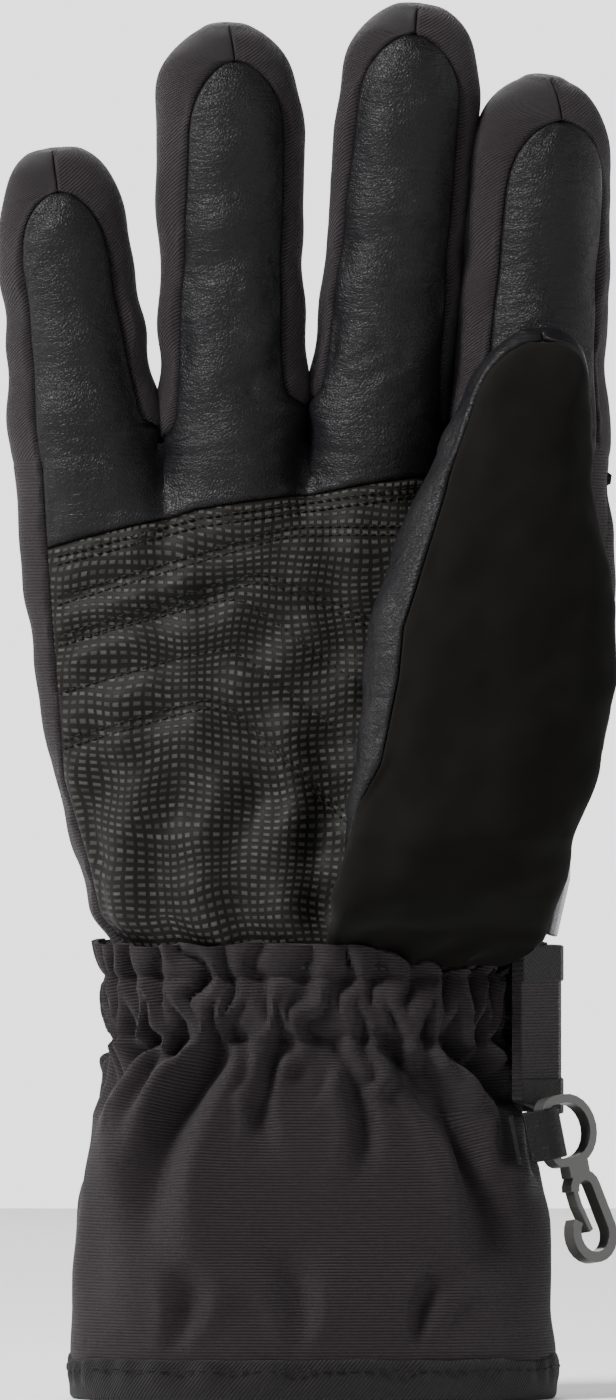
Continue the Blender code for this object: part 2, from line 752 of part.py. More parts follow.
clear_scene()
GLOVE = new_collection("ski_glove")
CUTTERS = new_collection("cutters")
for one in FINGERS:
    make_finger(one)
make_thumb()
make_hand()
make_piping()
make_wrist()
make_cuff()
make_strap()
make_clip()
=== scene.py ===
"""Looks of the ski glove: skins, seams, gathers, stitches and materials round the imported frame.

Outlines come from the frame: joint positions, node boxes and slices of the nodes. The tables below place
the seams and folds on them. Lengths are in metres, or in millimetres where a table says so. A skin is a
grid over a tube or a palm-like body. Its edges are tucked in where it is sewn.
"""

from contextlib import contextmanager
import json
import math

import bmesh
import bpy
import numpy as np
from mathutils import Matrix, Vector


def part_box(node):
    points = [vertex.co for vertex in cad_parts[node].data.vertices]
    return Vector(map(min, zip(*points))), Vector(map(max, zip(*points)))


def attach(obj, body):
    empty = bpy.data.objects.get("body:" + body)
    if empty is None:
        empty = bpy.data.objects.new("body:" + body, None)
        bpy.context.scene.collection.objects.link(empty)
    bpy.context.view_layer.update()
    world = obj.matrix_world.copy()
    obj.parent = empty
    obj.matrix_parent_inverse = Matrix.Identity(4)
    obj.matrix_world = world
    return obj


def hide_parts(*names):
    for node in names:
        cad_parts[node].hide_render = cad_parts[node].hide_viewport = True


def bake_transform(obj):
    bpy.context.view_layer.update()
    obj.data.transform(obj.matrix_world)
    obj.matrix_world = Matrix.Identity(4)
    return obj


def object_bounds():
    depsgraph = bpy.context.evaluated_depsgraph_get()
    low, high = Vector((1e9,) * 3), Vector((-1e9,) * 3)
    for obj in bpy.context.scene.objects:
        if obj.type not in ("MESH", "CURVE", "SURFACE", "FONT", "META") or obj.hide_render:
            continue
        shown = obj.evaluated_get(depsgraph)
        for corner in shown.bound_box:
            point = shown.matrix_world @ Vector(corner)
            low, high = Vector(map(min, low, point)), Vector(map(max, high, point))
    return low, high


MM = 0.001
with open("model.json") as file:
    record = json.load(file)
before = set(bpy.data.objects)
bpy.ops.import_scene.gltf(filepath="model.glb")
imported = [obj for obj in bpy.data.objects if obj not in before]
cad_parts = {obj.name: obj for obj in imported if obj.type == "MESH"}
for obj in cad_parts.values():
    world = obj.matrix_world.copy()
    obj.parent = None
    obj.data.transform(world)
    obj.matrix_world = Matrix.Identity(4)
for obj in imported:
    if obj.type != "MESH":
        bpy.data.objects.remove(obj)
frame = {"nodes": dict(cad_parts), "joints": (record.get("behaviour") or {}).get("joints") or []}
cad_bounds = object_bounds()

FINGER_NAMES = ("index", "middle", "ring", "little")
GRID = 0.95 * MM  # spacing of the skins' points
WALL = 0.9 * MM  # thickness of a skin
TUCK = 1.3 * MM  # how deep a sewn edge turns in
TUCK_REACH = 1.5 * MM  # width of the rounded edge beside a seam
ROOT_FLARE = 1.2 * MM  # fingers press against each other at their roots
SINK = 0.5 * MM  # a skin that ends under another one goes this far below it
SET_BACK = 0.5 * MM  # skins lie this far inside the solids, since their padding stands proud
DOME_RATIO = 1.4  # height of a fingertip's dome over the finger's half width
# Powers of the rounded outlines: 2 is an ellipse, and more is boxier.
PALM_POWER = 2.6
FINGER_POWER = 2.12
DOME_POWER = 2.1
WRIST_POWER = 2.3
# The hem tape's section, in mm: how far out from the cuff, and how high.
HEM_SECTION = (
    (-3.0, 8.6), (-0.6, 9.1), (-0.1, 8.6), (0.1, 7.8), (0.15, 4.5), (0.0, 1.0), (-0.4, 0.25), (-1.0, 0.0),
    (-2.4, 0.0), (-2.9, 0.4), (-3.1, 1.4),
)
DASH_SQUASH = 0.73  # the grip's dashes are wider than they are tall
RIB_PITCH = 0.66 * MM
BAND_SHARE = 0.314  # the wave texture's bands are this far apart at a scale of one
INNER_SPAN, OUTER_SPAN = 1.9, 4.4  # width of a finger's inner and outer panel over its half width
WAVE_COUNT = 20  # sine waves in each noise
MERGE = 1e-6  # points closer than this become one
# Edges sharper than this many degrees stay sharp: on skins, on copied solids and on stitches.
SKIN_SHARP, SOLID_SHARP, STITCH_SHARP = 55, 35, 80
# A stitch: sides of its bar, and the bar's rounded outline as shares of its length and radius.
STITCH_SIDES = 6
STITCH_PROFILE = ((-0.5, 0.25), (-0.38, 0.8), (0.0, 1.0), (0.38, 0.8), (0.5, 0.25))
PALM_STITCH = {"pitch": 1.9 * MM, "length": 1.35 * MM, "radius": 0.27 * MM}
HEM_STITCH = {"pitch": 2.9 * MM, "length": 2.1 * MM, "radius": 0.24 * MM}
FINGER_BEND = 9 * MM  # on each side of a finger's middle joint: the two places handed to bend_over
THUMB_BEND = 10 * MM
NOISE_RADIUS = 45 * MM  # noise round the wrist is read on a circle of this size
CLOTH_RADIUS = 48 * MM  # the sleeve's and hem's cloth is measured round a circle of this size
UP = np.array((0.0, 0.0, 1.0))
BACK = np.array((0.0, 1.0, 0.0))

# Where a finger's leather ends, as a share of the half width: left and right at the root, and left and
# right at the tip. The last value is how far the tip of the arch lies to the right, as a share too.
SEAMS = {
    "index": (0.60, 0.86, 0.50, 0.95, 0.34),
    "middle": (0.87, 0.86, 0.78, 0.78, 0.00),
    "ring": (0.78, 0.73, 0.58, 0.82, 0.14),
    "little": (0.68, 0.76, 0.70, 0.70, 0.02),
}
# Height above the finger's base at which the fabric between two fingers ends in a U: left and right.
CROTCHES = {
    "index": (0.3 * MM, None),
    "middle": (4.4 * MM, 0.3 * MM),
    "ring": (-2.3 * MM, 4.4 * MM),
    "little": (None, -2.3 * MM),
}


# ---------------- numbers


def smooth(low, high, value):
    t = np.clip((value - low) / (high - low), 0, 1)
    return t * t * (3 - 2 * t)


def bump(centre, half_width, value):
    """One at the centre, and nought a half width away."""
    return 1 - smooth(0, half_width, np.abs(value - centre))


def oval_scale(c, s, power):
    """Distance from the middle of a rounded outline of unit size, from an angle's cosine and sine."""
    return (np.abs(c) ** power + np.abs(s) ** power) ** (-1 / power)


def oval_height(share, power):
    """Height of a rounded outline over its middle: one at nought, and nought at one."""
    return (1 - share**power) ** (1 / power)


def quarter_turn(t):
    """How far a quarter circle has dropped, t before its end: one at nought, and nought at one."""
    return 1 - np.sqrt(1 - (1 - t) ** 2)


def stacked(*parts):
    """Points or coordinates from their parts, which may be columns, rows or single numbers."""
    return np.stack(np.broadcast_arrays(*parts), axis=-1)


def unit(vectors):
    return vectors / np.maximum(np.linalg.norm(vectors, axis=-1, keepdims=True), 1e-9)


def read_line(table, at):
    """The second column of a table in millimetres, read between its rows, in metres."""
    places, values = np.array(table).T * MM
    return np.interp(at, places, values)


def waves(points, length, seed):
    """Smooth noise of about unit size: a sum of sine waves in many directions near one wavelength."""
    rng = np.random.default_rng(seed)
    total = np.zeros(points.shape[:-1])
    for _ in range(WAVE_COUNT):
        direction = rng.normal(size=points.shape[-1])
        direction *= 2 * math.pi * rng.uniform(0.6, 1.5) / (length * np.linalg.norm(direction))
        total += np.sin(points @ direction + rng.uniform(0, 2 * math.pi))
    return total / math.sqrt(WAVE_COUNT / 2)


def creases(points, length, seed, sharp=4):
    """Thin valleys along the lines where the noise passes through nought, from 0 to 1."""
    return np.clip(1 - np.abs(waves(points, length, seed)), 0, 1) ** sharp


def slice_box(names, z):
    """Lowest and highest (x, y) of the nodes' section at height z."""
    found = []
    for name in names:
        mesh = frame["nodes"][name].data
        co = np.array([v.co for v in mesh.vertices])
        ends = co[np.array([e.vertices[:] for e in mesh.edges])]
        low = ends[:, 0, 2] - z
        high = ends[:, 1, 2] - z
        cross = low * high < 0
        share = (low[cross] / (low[cross] - high[cross]))[:, None]
        found.append((ends[cross, 0] + share * (ends[cross, 1] - ends[cross, 0]))[:, :2])
    points = np.concatenate(found)
    return points.min(0), points.max(0)


def span(name, direction):
    """How far a node reaches along a direction, as (lowest, highest)."""
    reach = np.array([v.co for v in frame["nodes"][name].data.vertices]) @ np.array(direction)
    return reach.min(), reach.max()


class Profile:
    """Centre and half sizes of a body's horizontal sections, read from its nodes."""

    def __init__(self, names, heights):
        boxes = [slice_box(names, z) for z in heights]
        self.heights = np.array(heights)
        self.low = np.array([low for low, _ in boxes])
        self.high = np.array([high for _, high in boxes])

    def at(self, z):
        """(x, y, half width, half depth) at each height."""
        edges = [np.interp(z, self.heights, side[:, k]) for side in (self.low, self.high) for k in (0, 1)]
        x0, y0, x1, y1 = edges
        return (x0 + x1) / 2, (y0 + y1) / 2, (x1 - x0) / 2, (y1 - y0) / 2


# ---------------- meshes


def normals_of(grid, core, wrap=False):
    """Unit normals of a grid of points, facing away from its core line."""
    around = np.concatenate([grid[:, -2:-1], grid, grid[:, 1:2]], axis=1) if wrap else grid
    across = np.gradient(around, axis=1)
    normal = np.cross(across[:, 1:-1] if wrap else across, np.gradient(grid, axis=0))
    length = np.linalg.norm(normal, axis=2, keepdims=True)
    away = unit(grid - core)
    sign = 1 if (normal * away).sum() > 0 else -1
    return np.where(length > 1e-12, sign * normal / np.maximum(length, 1e-12), away), sign


def rim_faces(loop, shift, closed):
    """Quads between a line of outer points and the inner points behind them."""
    after = np.roll(loop, -1)
    faces = stacked(after, loop, loop + shift, after + shift)
    return faces if closed else faces[:-1]


def skin(name, grid, core, uv, material, wall=WALL, height=None, wrap=False):
    """A closed shell: the grid lifted by height along its normals, with a wall on its inner side.
    With wrap, the first and last columns are the same line, and the shell is a tube."""
    rows, cols = grid.shape[:2]
    normal, sign = normals_of(grid, core, wrap)
    if height is not None:
        grid = grid + normal * height[..., None]
        normal, sign = normals_of(grid, core, wrap)
    inner = grid - normal * wall
    number = np.arange(rows * cols).reshape(rows, cols)
    outer = stacked(number[:-1, :-1], number[:-1, 1:], number[1:, 1:], number[1:, :-1]).reshape(-1, 4)
    shift = rows * cols
    if wrap:
        rims = [rim_faces(number[0], shift, False), rim_faces(number[-1, ::-1], shift, False)]
    else:
        edge = np.concatenate([number[0, :-1], number[:-1, -1], number[-1, :0:-1], number[:0:-1, 0]])
        rims = [rim_faces(edge, shift, True)]
    faces = np.concatenate([outer, outer[:, ::-1] + shift, *rims])
    if sign < 0:
        faces = faces[:, ::-1]
    mesh = bpy.data.meshes.new(name)
    mesh.from_pydata(np.concatenate([grid, inner]).reshape(-1, 3).tolist(), [], faces.tolist())
    write_uv(mesh, np.concatenate([uv.reshape(-1, 2)] * 2))
    return finish_mesh(name, mesh, material)


def write_uv(mesh, point_uv):
    layer = mesh.uv_layers.new(name="cloth")
    corner = np.empty(len(mesh.loops), np.int32)
    mesh.loops.foreach_get("vertex_index", corner)
    layer.data.foreach_set("uv", point_uv[corner].astype(np.float32).ravel())


@contextmanager
def edited(mesh):
    """The mesh as a bmesh with doubled points merged. What is done to it goes back into the mesh."""
    bm = bmesh.new()
    bm.from_mesh(mesh)
    bmesh.ops.remove_doubles(bm, verts=bm.verts, dist=MERGE)
    yield bm
    bm.to_mesh(mesh)
    bm.free()


def copy_of(name, material, bevel, uv=None, shape=None):
    """A finished version of a node whose shape is right: the same solid with rounded edges.
    A shape function can move its points a little, to where it meets its neighbours."""
    mesh = frame["nodes"][name].data.copy()
    mesh.materials.clear()
    co = np.array([v.co for v in mesh.vertices])
    if shape is not None:
        co = shape(co)
        mesh.vertices.foreach_set("co", co.ravel())
    for layer in list(mesh.uv_layers):
        mesh.uv_layers.remove(layer)
    write_uv(mesh, co[:, [0, 2]] if uv is None else uv(co))
    with edited(mesh) as bm:
        bmesh.ops.dissolve_limit(bm, angle_limit=math.radians(1), verts=bm.verts, edges=bm.edges)
    obj = finish_mesh(f"{name}_skin", mesh, material, SOLID_SHARP)
    rounded = obj.modifiers.new("rounded", "BEVEL")
    rounded.width = bevel
    rounded.segments = 3
    rounded.limit_method = "ANGLE"
    rounded.angle_limit = math.radians(40)
    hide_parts(name)
    return obj


def finish_mesh(name, mesh, material, sharp=SKIN_SHARP):
    with edited(mesh) as bm:
        bmesh.ops.dissolve_degenerate(bm, edges=bm.edges, dist=0.1 * MERGE)
        bmesh.ops.recalc_face_normals(bm, faces=bm.faces)
    mesh.shade_smooth()
    mesh.set_sharp_from_angle(angle=math.radians(sharp))
    mesh.materials.append(material)
    obj = bpy.data.objects.new(name, mesh)
    bpy.context.scene.collection.objects.link(obj)
    return obj


def steps(low, high, spacing=GRID):
    return np.linspace(low, high, max(3, int(round(abs(high - low) / spacing)) + 1))


def eased(length, spacing=0.75 * GRID):
    """Shares from 0 to 1 along a length, closer together near both ends, where a panel turns in."""
    t = np.linspace(0, 1, max(6, int(round(length / spacing)) + 1))
    return t - 0.75 * np.sin(2 * math.pi * t) / (2 * math.pi)


def edge_tuck(distance):
    """Height beside a sewn edge: the skin rolls over and goes in."""
    return -TUCK * quarter_turn(np.clip(distance / TUCK_REACH, 0, 1))


def stitches(name, spots, ways, normals, size):
    """Short rounded bars in black thread, one at each spot, lying along the seam."""
    points, faces = [], []
    for spot, way, normal in zip(spots, ways, normals):
        side = np.cross(way, normal)
        first = len(points)
        for share, girth in STITCH_PROFILE:
            for k in range(STITCH_SIDES):
                angle = 2 * math.pi * k / STITCH_SIDES
                offset = side * math.cos(angle) + normal * math.sin(angle)
                points.append(spot + way * share * size["length"] + offset * girth * size["radius"])
        last = len(points) - STITCH_SIDES
        for start in range(first, last, STITCH_SIDES):
            for k in range(STITCH_SIDES):
                a = start + k
                b = start + (k + 1) % STITCH_SIDES
                faces.append((a, b, b + STITCH_SIDES, a + STITCH_SIDES))
        faces.append([first + k for k in range(STITCH_SIDES)][::-1])
        faces.append([last + k for k in range(STITCH_SIDES)])
    mesh = bpy.data.meshes.new(name)
    mesh.from_pydata([tuple(p) for p in points], [], faces)
    return finish_mesh(name, mesh, THREAD, STITCH_SHARP)


def along_line(line, pitch):
    """Even spots on a polyline, with the unit direction at each."""
    leg = np.linalg.norm(np.diff(line, axis=0), axis=1)
    reach = np.concatenate([[0], np.cumsum(leg)])
    at = np.arange(pitch / 2, reach[-1], pitch)

    def spots(lengths):
        return stacked(*[np.interp(lengths, reach, line[:, k]) for k in range(3)])

    return spots(at), unit(spots(at + pitch / 4) - spots(at - pitch / 4))


# ---------------- materials


def link(owner, output, target):
    owner.node_tree.links.new(output, target)


def node(owner, kind, inputs=None, **settings):
    """A new node of a material or world. Each input is a value, or the output that it is linked to."""
    made = owner.node_tree.nodes.new(kind)
    for key, value in settings.items():
        setattr(made, key, value)
    for key, value in (inputs or {}).items():
        if isinstance(value, bpy.types.NodeSocket):
            link(owner, value, made.inputs[key])
        else:
            made.inputs[key].default_value = value
    return made


def new_material(name, colour, roughness, gloss=0.5, **others):
    """A material and its shader. The other values are named like their inputs, with _ for a space."""
    material = bpy.data.materials.new(name)
    material.use_nodes = True
    shader = material.node_tree.nodes["Principled BSDF"]
    shader.inputs["Base Color"].default_value = (*colour, 1)
    shader.inputs["Roughness"].default_value = roughness
    shader.inputs["Specular IOR Level"].default_value = gloss
    for key, value in others.items():
        shader.inputs[key.replace("_", " ")].default_value = value
    return material, shader


def cloth_uv(material, turn=0.0, scale=(1.0, 1.0)):
    """The skin's own coordinates in metres, turned and stretched."""
    source = node(material, "ShaderNodeUVMap", uv_map="cloth").outputs["UV"]
    inputs = {"Vector": source, "Rotation": (0, 0, turn), "Scale": (*scale, 1)}
    return node(material, "ShaderNodeMapping", inputs).outputs["Vector"]


def place(material):
    """Coordinates of the object itself, in metres."""
    return node(material, "ShaderNodeTexCoord").outputs["Object"]


def noise(material, vector, scale, detail=2.0, distortion=0.0):
    inputs = {"Vector": vector, "Scale": scale, "Detail": detail, "Distortion": distortion}
    return node(material, "ShaderNodeTexNoise", inputs).outputs["Fac"]


def cells(material, vector, scale, feature="F1"):
    """Distance to a cell's middle, or with another feature to its edge."""
    inputs = {"Vector": vector, "Scale": scale}
    return node(material, "ShaderNodeTexVoronoi", inputs, feature=feature).outputs["Distance"]


def math_node(material, operation, *values):
    return node(material, "ShaderNodeMath", dict(enumerate(values)), operation=operation).outputs[0]


def paint(material, shader, share, first, second):
    """The shader's colour, from the first to the second as the share grows."""
    inputs = {"Factor": share, "A": (*first, 1), "B": (*second, 1)}
    mix = node(material, "ShaderNodeMix", inputs, data_type="RGBA")
    link(material, mix.outputs["Result"], shader.inputs["Base Color"])


def roughen(material, shader, share, low, gain):
    rough = math_node(material, "MULTIPLY_ADD", share, gain, low)
    link(material, rough, shader.inputs["Roughness"])


def add_bump(material, shader, height, distance, strength=1.0):
    """Relief on top of any that the shader has already."""
    made = node(material, "ShaderNodeBump", {"Height": height, "Strength": strength, "Distance": distance})
    normal = shader.inputs["Normal"]
    if normal.is_linked:
        link(material, normal.links[0].from_socket, made.inputs["Normal"])
    link(material, made.outputs["Normal"], normal)


def rib_fabric(name, turn=0.0, light=(0.0205, 0.0148, 0.0176), groove_shade=(0.0004, 0.0003, 0.0004)):
    """Ribbed polyester: fine cross ribs of uneven thread, with a soft sheen. Painted shade makes the grooves
    between the ribs nearly black.
    """
    material, shader = new_material(name, light, 0.6, 0.09, Sheen_Weight=0.06, Sheen_Roughness=0.4)
    vector = cloth_uv(material, turn)
    rib = node(
        material,
        "ShaderNodeTexWave",
        {"Vector": vector, "Scale": BAND_SHARE / RIB_PITCH, "Distortion": 1.2, "Detail Scale": 300.0},
        wave_type="BANDS",
        bands_direction="Y",
    )
    wobble = noise(material, vector, 900.0, 1.0)
    rib_height_and_shade = math_node(material, "MULTIPLY_ADD", wobble, 0.5, rib.outputs["Fac"])
    # painted shade: the colour runs from the ribs' own colour on their tops to nearly black in the grooves,
    # where shade falls
    paint(material, shader, math_node(material, "MULTIPLY", rib_height_and_shade, 0.72), groove_shade, light)
    add_bump(material, shader, rib_height_and_shade, 0.34 * MM)
    return material


def twill(name):
    """Tape with a slanting rib, less deep in colour than the fabric, with paler painted shade in its grooves.
    """
    return rib_fabric(name, math.radians(52), (0.013, 0.0110, 0.0120), (0.0028, 0.0024, 0.0026))


def leather(name):
    """Fine-grained leather: small pebbles, hair pores and soft creases."""
    colour = (0.0032, 0.0030, 0.0036)
    material, shader = new_material(name, colour, 0.42, 0.13)
    vector = cloth_uv(material)
    darker, lighter = [tuple(share * c for c in colour) for share in (0.72, 1.35)]
    paint(material, shader, noise(material, vector, 60.0), darker, lighter)
    pebble = math_node(material, "MINIMUM", cells(material, vector, 1500.0, "DISTANCE_TO_EDGE"), 0.22)
    crease = noise(material, cloth_uv(material, 0.0, (0.35, 1.0)), 650.0, 3.0, 0.6)
    grain = noise(material, vector, 2600.0, 3.0)
    roughen(material, shader, grain, 0.33, 0.22)
    add_bump(material, shader, pebble, 0.45 * MM, 0.6)
    add_bump(material, shader, crease, 0.5 * MM, 0.7)
    add_bump(material, shader, grain, 0.1 * MM, 0.5)
    return material


def softshell(name):
    """Smooth, matt stretch fabric with a very fine knit."""
    material, shader = new_material(name, (0.003, 0.0028, 0.0025), 0.92, 0.04, Sheen_Weight=0.02)
    vector = cloth_uv(material)
    soft = noise(material, vector, 110.0)
    paint(material, shader, soft, (0.0018, 0.0017, 0.0015), (0.0042, 0.0038, 0.0034))
    add_bump(material, shader, noise(material, vector, 2200.0), 0.06 * MM, 0.5)
    add_bump(material, shader, soft, 0.5 * MM, 0.25)
    return material


def grip_fabric(name):
    """Black fabric with raised grey dashes, in rows that wander a little."""
    material, shader = new_material(name, (0.012, 0.011, 0.010), 0.6, 0.1)
    vector = cloth_uv(material)
    drift = noise(material, vector, 45.0, 1.0).node.outputs["Color"]
    shove = node(material, "ShaderNodeVectorMath", {0: drift, "Scale": 6 * MM}, operation="SCALE")
    squashed = cloth_uv(material, 0.0, (1.0, DASH_SQUASH))
    moved = node(material, "ShaderNodeVectorMath", {0: squashed, 1: shove.outputs[0]}, operation="ADD")
    inputs = {
        "Vector": moved.outputs[0],
        "Scale": 1.0,
        "Brick Width": 1.9 * MM,
        "Row Height": 1.68 * MM * DASH_SQUASH,
        "Mortar Size": 0.47 * MM,
        "Mortar Smooth": 0.5,
        "Color1": (1, 1, 1, 1),
        "Color2": (0.45, 0.45, 0.45, 1),
        "Mortar": (0, 0, 0, 1),
    }
    dash = node(material, "ShaderNodeTexBrick", inputs, offset=0.0).outputs["Color"]
    worn = math_node(material, "MULTIPLY", dash, noise(material, vector, 420.0))
    share = math_node(material, "MULTIPLY", worn, 1.6)
    paint(material, shader, share, (0.0026, 0.0023, 0.0020), (0.036, 0.0345, 0.031))
    add_bump(material, shader, dash, 0.22 * MM, 0.8)
    return material


def thread(name):
    material, shader = new_material(name, (0.0045, 0.004, 0.004), 0.55, 0.12)
    add_bump(material, shader, noise(material, place(material), 3000.0), 0.05 * MM, 0.6)
    return material


def brushed_knit(name):
    """A soft nap, a shade lighter than the outside."""
    material, shader = new_material(name, (0.012, 0.012, 0.013), 0.95, 0.06, Sheen_Weight=0.1)
    fibre = noise(material, place(material), 1800.0)
    paint(material, shader, fibre, (0.005, 0.005, 0.006), (0.018, 0.018, 0.020))
    add_bump(material, shader, fibre, 0.25 * MM, 0.6)
    return material


def clip_plastic(name):
    """Satin moulded plastic with a slight orange peel."""
    material, shader = new_material(name, (0.030, 0.029, 0.028), 0.38, 0.5)
    peel = noise(material, place(material), 1400.0)
    roughen(material, shader, peel, 0.26, 0.2)
    add_bump(material, shader, peel, 0.03 * MM, 0.5)
    return material


def reflective(name):
    """Pale cord with glass beads on it."""
    material, shader = new_material(name, (0.33, 0.32, 0.34), 0.35, Metallic=0.3)
    bead = cells(material, place(material), 3500.0)
    paint(material, shader, bead, (0.42, 0.41, 0.43), (0.20, 0.19, 0.20))
    add_bump(material, shader, bead, 0.05 * MM, 0.5)
    return material


RIB = rib_fabric("ribbed_polyester")
RIB_SLANT = rib_fabric("ribbed_polyester_slanted", math.radians(-32))
LEATHER = leather("goat_leather")
SOFTSHELL = softshell("softshell")
GRIP = grip_fabric("grip_fabric")
TWILL = twill("twill_tape")
THREAD = thread("black_thread")
LINING = brushed_knit("tricot_lining")
PLASTIC = clip_plastic("satin_plastic")
SILVER = reflective("reflective_cord")
VELCRO = brushed_knit("hook_and_loop_tape")


# ---------------- tubes: fingers and thumb


def levels_to_peak(low, start, peak, density):
    """Levels from low to a peak, closer together above start, where the outline closes in."""
    rise = np.sin(np.linspace(0, math.pi / 2, int((peak - start) / GRID * density)))
    return np.concatenate([steps(low, start)[:-1], start + (peak - start) * rise])


class Tube:
    """A finger-like body. Its inner panel lies between two seams and ends in an arch below the tip."""

    def __init__(self, levels, centre, across, half_width, half_depth, seams, arch, start=(0.0, 0.0)):
        self.levels = levels
        self.centre = centre
        self.across = across
        self.half_width = half_width
        self.half_depth = half_depth
        self.seams = seams
        self.arch = arch
        self.start = start
        self.power = np.full(len(levels), FINGER_POWER)
        self.fit = np.copy

    def read(self, values, v):
        return np.interp(v, self.levels, values)

    def middle(self, v):
        return stacked(*[self.read(self.centre[:, k], v) for k in range(3)])

    def point(self, angle, v):
        """The surface at an angle from the front (to the right is positive) and a level."""
        c, s = np.cos(angle), np.sin(angle)
        size = oval_scale(c, s, self.read(self.power, v))
        side = (self.read(self.half_width, v) * s * size)[..., None] * self.across
        return self.middle(v) + side - (self.read(self.half_depth, v) * c * size)[..., None] * BACK

    def seam_angles(self, v):
        """(left, right) angle of the inner panel's edges. They meet at the arch's apex."""
        left, right, middle = self.seams(v)
        start, apex, power = self.arch
        open_share = oval_height(np.clip((v - start) / (apex - start), 0, 1), power)
        return middle + (left - middle) * open_share, middle + (right - middle) * open_share

    def inner_grid(self, low, high):
        """Angles and levels over the inner panel, closer together towards the arch's apex."""
        start, apex, _ = self.arch
        rows = levels_to_peak(low, start, apex, 1.2) if high > apex else steps(low, high)
        share = eased(self.read(self.half_width, low) * INNER_SPAN)
        v = np.repeat(rows[:, None], len(share), axis=1)
        left, right = self.seam_angles(v)
        sideways = np.minimum(share, 1 - share) * (right - left) * self.read(self.half_width, v)
        ahead = np.where(high > apex, apex - v, 1.0)
        return left + (right - left) * share, v, np.minimum(sideways, ahead)

    def outer_grid(self, low, high):
        """Angles and levels over the outer panel, which goes round the far side between the seams."""
        top = self.levels[-1]
        dome = self.read(self.half_width, top - 18 * MM) * 1.2
        rows = levels_to_peak(low, top - dome, top, 1.5) if high >= top else steps(low, high)
        share = eased(self.read(self.half_width, low) * OUTER_SPAN)
        v = np.repeat(rows[:, None], len(share), axis=1)
        left, right = self.seam_angles(v)
        turn = 2 * math.pi + left - right
        edge = np.minimum(share, 1 - share) * turn * self.read(self.half_width, v)
        return right + turn * share, v, edge

    def panel(self, name, part, low, high, material, relief, puff):
        angle, v, edge = self.inner_grid(low, high) if part == "inner" else self.outer_grid(low, high)
        grid = self.fit(self.point(angle, v))
        size = np.maximum(self.read(self.half_width, v), 5 * MM)
        uv = stacked(angle * size + self.start[0], v + self.start[1])
        top = self.levels[-1]
        fade = 1 - smooth(top - 1.6 * MM, top - 0.1 * MM, v)
        height = (edge_tuck(edge) + relief(grid, edge)) * fade + puff * smooth(0, 9 * MM, edge)
        height -= SET_BACK + SINK * (1 - smooth(-9 * MM, -3 * MM, v))
        core = self.middle(v) - UP * 3 * MM
        return skin(name, grid, core, uv, material, height=height)


def leather_relief(grid, edge):
    """Transverse creases, shallow dents and fine grain lines."""
    fold = creases(grid * (0.40, 0.40, 1.0), 8 * MM, 3, 3)
    fold = fold * smooth(-0.2, 0.9, waves(grid, 26 * MM, 4))
    fine = creases(grid * (0.5, 0.5, 1.0), 4.2 * MM, 5, 3)
    dents = waves(grid, 16 * MM, 6)
    inside = smooth(0, 3 * MM, edge)
    return (-0.45 * fold - 0.16 * fine + 0.22 * dents) * inside * MM


def fabric_relief(grid, edge):
    """Soft folds, and small puckers beside the seams, where the fabric is eased in."""
    ease = np.exp(-edge / (4 * MM)) * smooth(0, MM, edge)
    pucker = waves(grid * (0.35, 0.35, 1.0), 6 * MM, 71)
    folds = waves(grid * (0.5, 0.5, 1.0), 19 * MM, 72)
    inside = smooth(0, 2.2 * MM, edge)
    return (0.16 * pucker * ease + 0.36 * folds * inside) * MM


def joint(name):
    return next(j for j in frame["joints"] if j["name"] == name)


HAND_Y = sum(corner.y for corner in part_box("wrist_fabric")) / 2


def turned_out(share, v, bottom):
    """The seam's place as a share of the half width. Beside a crotch it turns out in a quarter of a U."""
    if bottom is None:
        return share
    rise = np.clip((v - bottom) / (5.5 * MM), 0, 1)
    return share + (1.0 - share) * quarter_turn(rise)


def finger_tube(name):
    knuckle = np.array(joint(f"{name}_knuckle")["pos_m"])
    bend = np.array(joint(f"{name}_bend")["pos_m"])
    along = (bend - knuckle) * (1, 0, 1)
    bend_at = np.linalg.norm(along)
    along = along / bend_at
    across = np.array((along[2], 0, -along[0]))
    base = np.array((knuckle[0], HAND_Y, knuckle[2]))
    lower = span(f"{name}_lower_fabric", across)
    tip = span(f"{name}_tip_fabric", across)
    root_half = (lower[1] - lower[0]) / 2
    tip_half = (tip[1] - tip[0]) / 2
    length = span(f"{name}_tip_fabric", along)[1] - base @ along
    apex = span(f"{name}_tip_leather", along)[1] - base @ along
    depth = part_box(f"{name}_lower_fabric")[1].y - HAND_Y
    dome = DOME_RATIO * tip_half
    levels = np.concatenate([np.linspace(-12 * MM, length - dome, 40), np.zeros(60)])
    levels[40:] = length - dome + dome * np.sin(np.linspace(0, math.pi / 2, 61)[1:])
    share = np.clip(levels / (length - dome), 0, 1)
    rise = np.clip((levels - (length - dome)) / dome, 0, 1)
    half = (root_half + (tip_half - root_half) * share) * oval_height(rise, DOME_POWER)
    half += ROOT_FLARE * (1 - smooth(0, 16 * MM, levels)) - 0.5 * MM * bump(bend_at, 9 * MM, levels)
    left_root, right_root, left_tip, right_tip, shift = SEAMS[name]
    left_crotch, right_crotch = CROTCHES[name]

    def seams(v):
        t = smooth(0.15, 0.8, v / length)
        left = turned_out(left_root + (left_tip - left_root) * t, v, left_crotch)
        right = turned_out(right_root + (right_tip - right_root) * t, v, right_crotch)
        return -np.arcsin(left), np.arcsin(right), np.arcsin(shift) * np.ones_like(v)

    half = np.maximum(half, 0.0)
    arch = (apex - 1.15 * tip_half, apex, 2.0)
    centre = base + levels[:, None] * along
    tube = Tube(levels, centre, across, half, half * depth / root_half, seams, arch, (base[0], base[2]))
    tube.name = name
    tube.base = base
    tube.along = along
    tube.bend_at = bend_at
    tube.length = length
    return tube


FINGERS = {name: finger_tube(name) for name in FINGER_NAMES}


def bend_over(pieces, body, next_body, start, end):
    """Padded pieces, each with its place baked into its mesh."""
    for piece, slot in pieces.items():
        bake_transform(piece)


